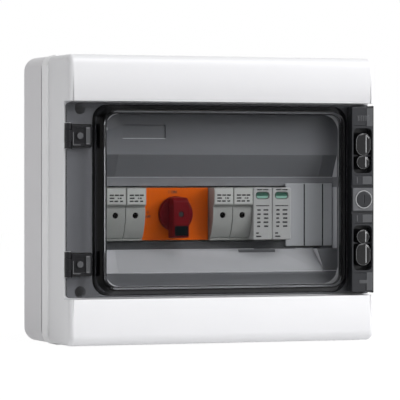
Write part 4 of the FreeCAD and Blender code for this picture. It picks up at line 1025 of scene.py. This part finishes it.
stage = {"half": 4, "below": 0.0002, "paper": 0.9, "glow": 1.1, "share": 0.88, "sky": (0.25, 1.0)}


def whitePaper(name):
    material, tree, shader = emptyMaterial(name)
    tree.nodes.remove(shader)
    tone = stage["paper"]
    matte = node(tree, "ShaderNodeBsdfDiffuse", -300, 0, {"Color": (tone, tone, tone, 1)})
    glow = node(tree, "ShaderNodeEmission", -300, -200, {"Strength": stage["glow"]})
    amount = maths(tree, "MULTIPLY", -100, 200, seenDirectly(tree), stage["share"])
    mixed = node(tree, "ShaderNodeMixShader", 100, 0,
                 {"Fac": amount, 1: matte.outputs["BSDF"], 2: glow.outputs["Emission"]})
    feed(tree, tree.nodes["Material Output"].inputs["Surface"], mixed.outputs["Shader"])
    return material


def makeStage():
    floor = bmesh.new()
    bmesh.ops.create_grid(floor, x_segments=1, y_segments=1, size=stage["half"])
    bmesh.ops.translate(floor, vec=(0, 0, cadLow.z - stage["below"]), verts=floor.verts)
    paper = placed("floor", toMesh(floor, "floor"))
    paper.data.materials.append(whitePaper("whitePaper"))


def makeWorld():
    world = bpy.data.worlds.new("studio")
    bpy.context.scene.world = world
    world.use_nodes = True
    tree = world.node_tree
    sky = tree.nodes["Background"]
    sky.inputs["Color"].default_value = (1, 1, 1, 1)
    feed(tree, sky.inputs["Strength"],
         stretch(tree, -300, 0, seenDirectly(tree), after=stage["sky"]))


makeStage()
makeWorld()

camera = {"azimuth": -21.0, "elevation": 0.47, "distance": 2.4343, "target": (0, -0.060, 0),
          "lens": 254.3, "shift": (0.00975, -0.002)}


def makeCamera():
    turn = math.radians(camera["azimuth"])
    rise = math.radians(camera["elevation"])
    away = Vector((math.sin(turn) * math.cos(rise), -math.cos(turn) * math.cos(rise),
                   math.sin(rise)))
    data = bpy.data.cameras.new("camera")
    data.lens = camera["lens"]
    data.sensor_width = 36
    data.shift_x, data.shift_y = camera["shift"]
    data.clip_end = 50
    eye = placed("camera", data)
    eye.location = Vector(camera["target"]) + away * camera["distance"]
    eye.rotation_mode = "QUATERNION"
    eye.rotation_quaternion = (-away).to_track_quat("-Z", "Y")
    bpy.context.scene.camera = eye


makeCamera()

# place, size in metres, watts: each looks at the middle of the box's back
lamps = {
    "keyLight": ((1.7, -1.35, 0.85), (0.7, 0.8), 31),
    "sideLight": ((-2.0, -0.9, 0.1), (0.4, 1.2), 7.2),
    "topLight": ((0.45, -1.15, 1.8), (1.2, 0.8), 15.5),
}


def makeLamp(name, place, size, power):
    data = bpy.data.lights.new(name, "AREA")
    data.shape = "RECTANGLE"
    data.size, data.size_y = size
    data.energy = power
    made = placed(name, data)
    made.location = place
    made.rotation_mode = "QUATERNION"
    made.rotation_quaternion = (-Vector(place)).to_track_quat("-Z", "Y")


for name, (place, size, power) in lamps.items():
    makeLamp(name, place, size, power)

bpy.context.scene.view_settings.view_transform = "Standard"
print("scene done")
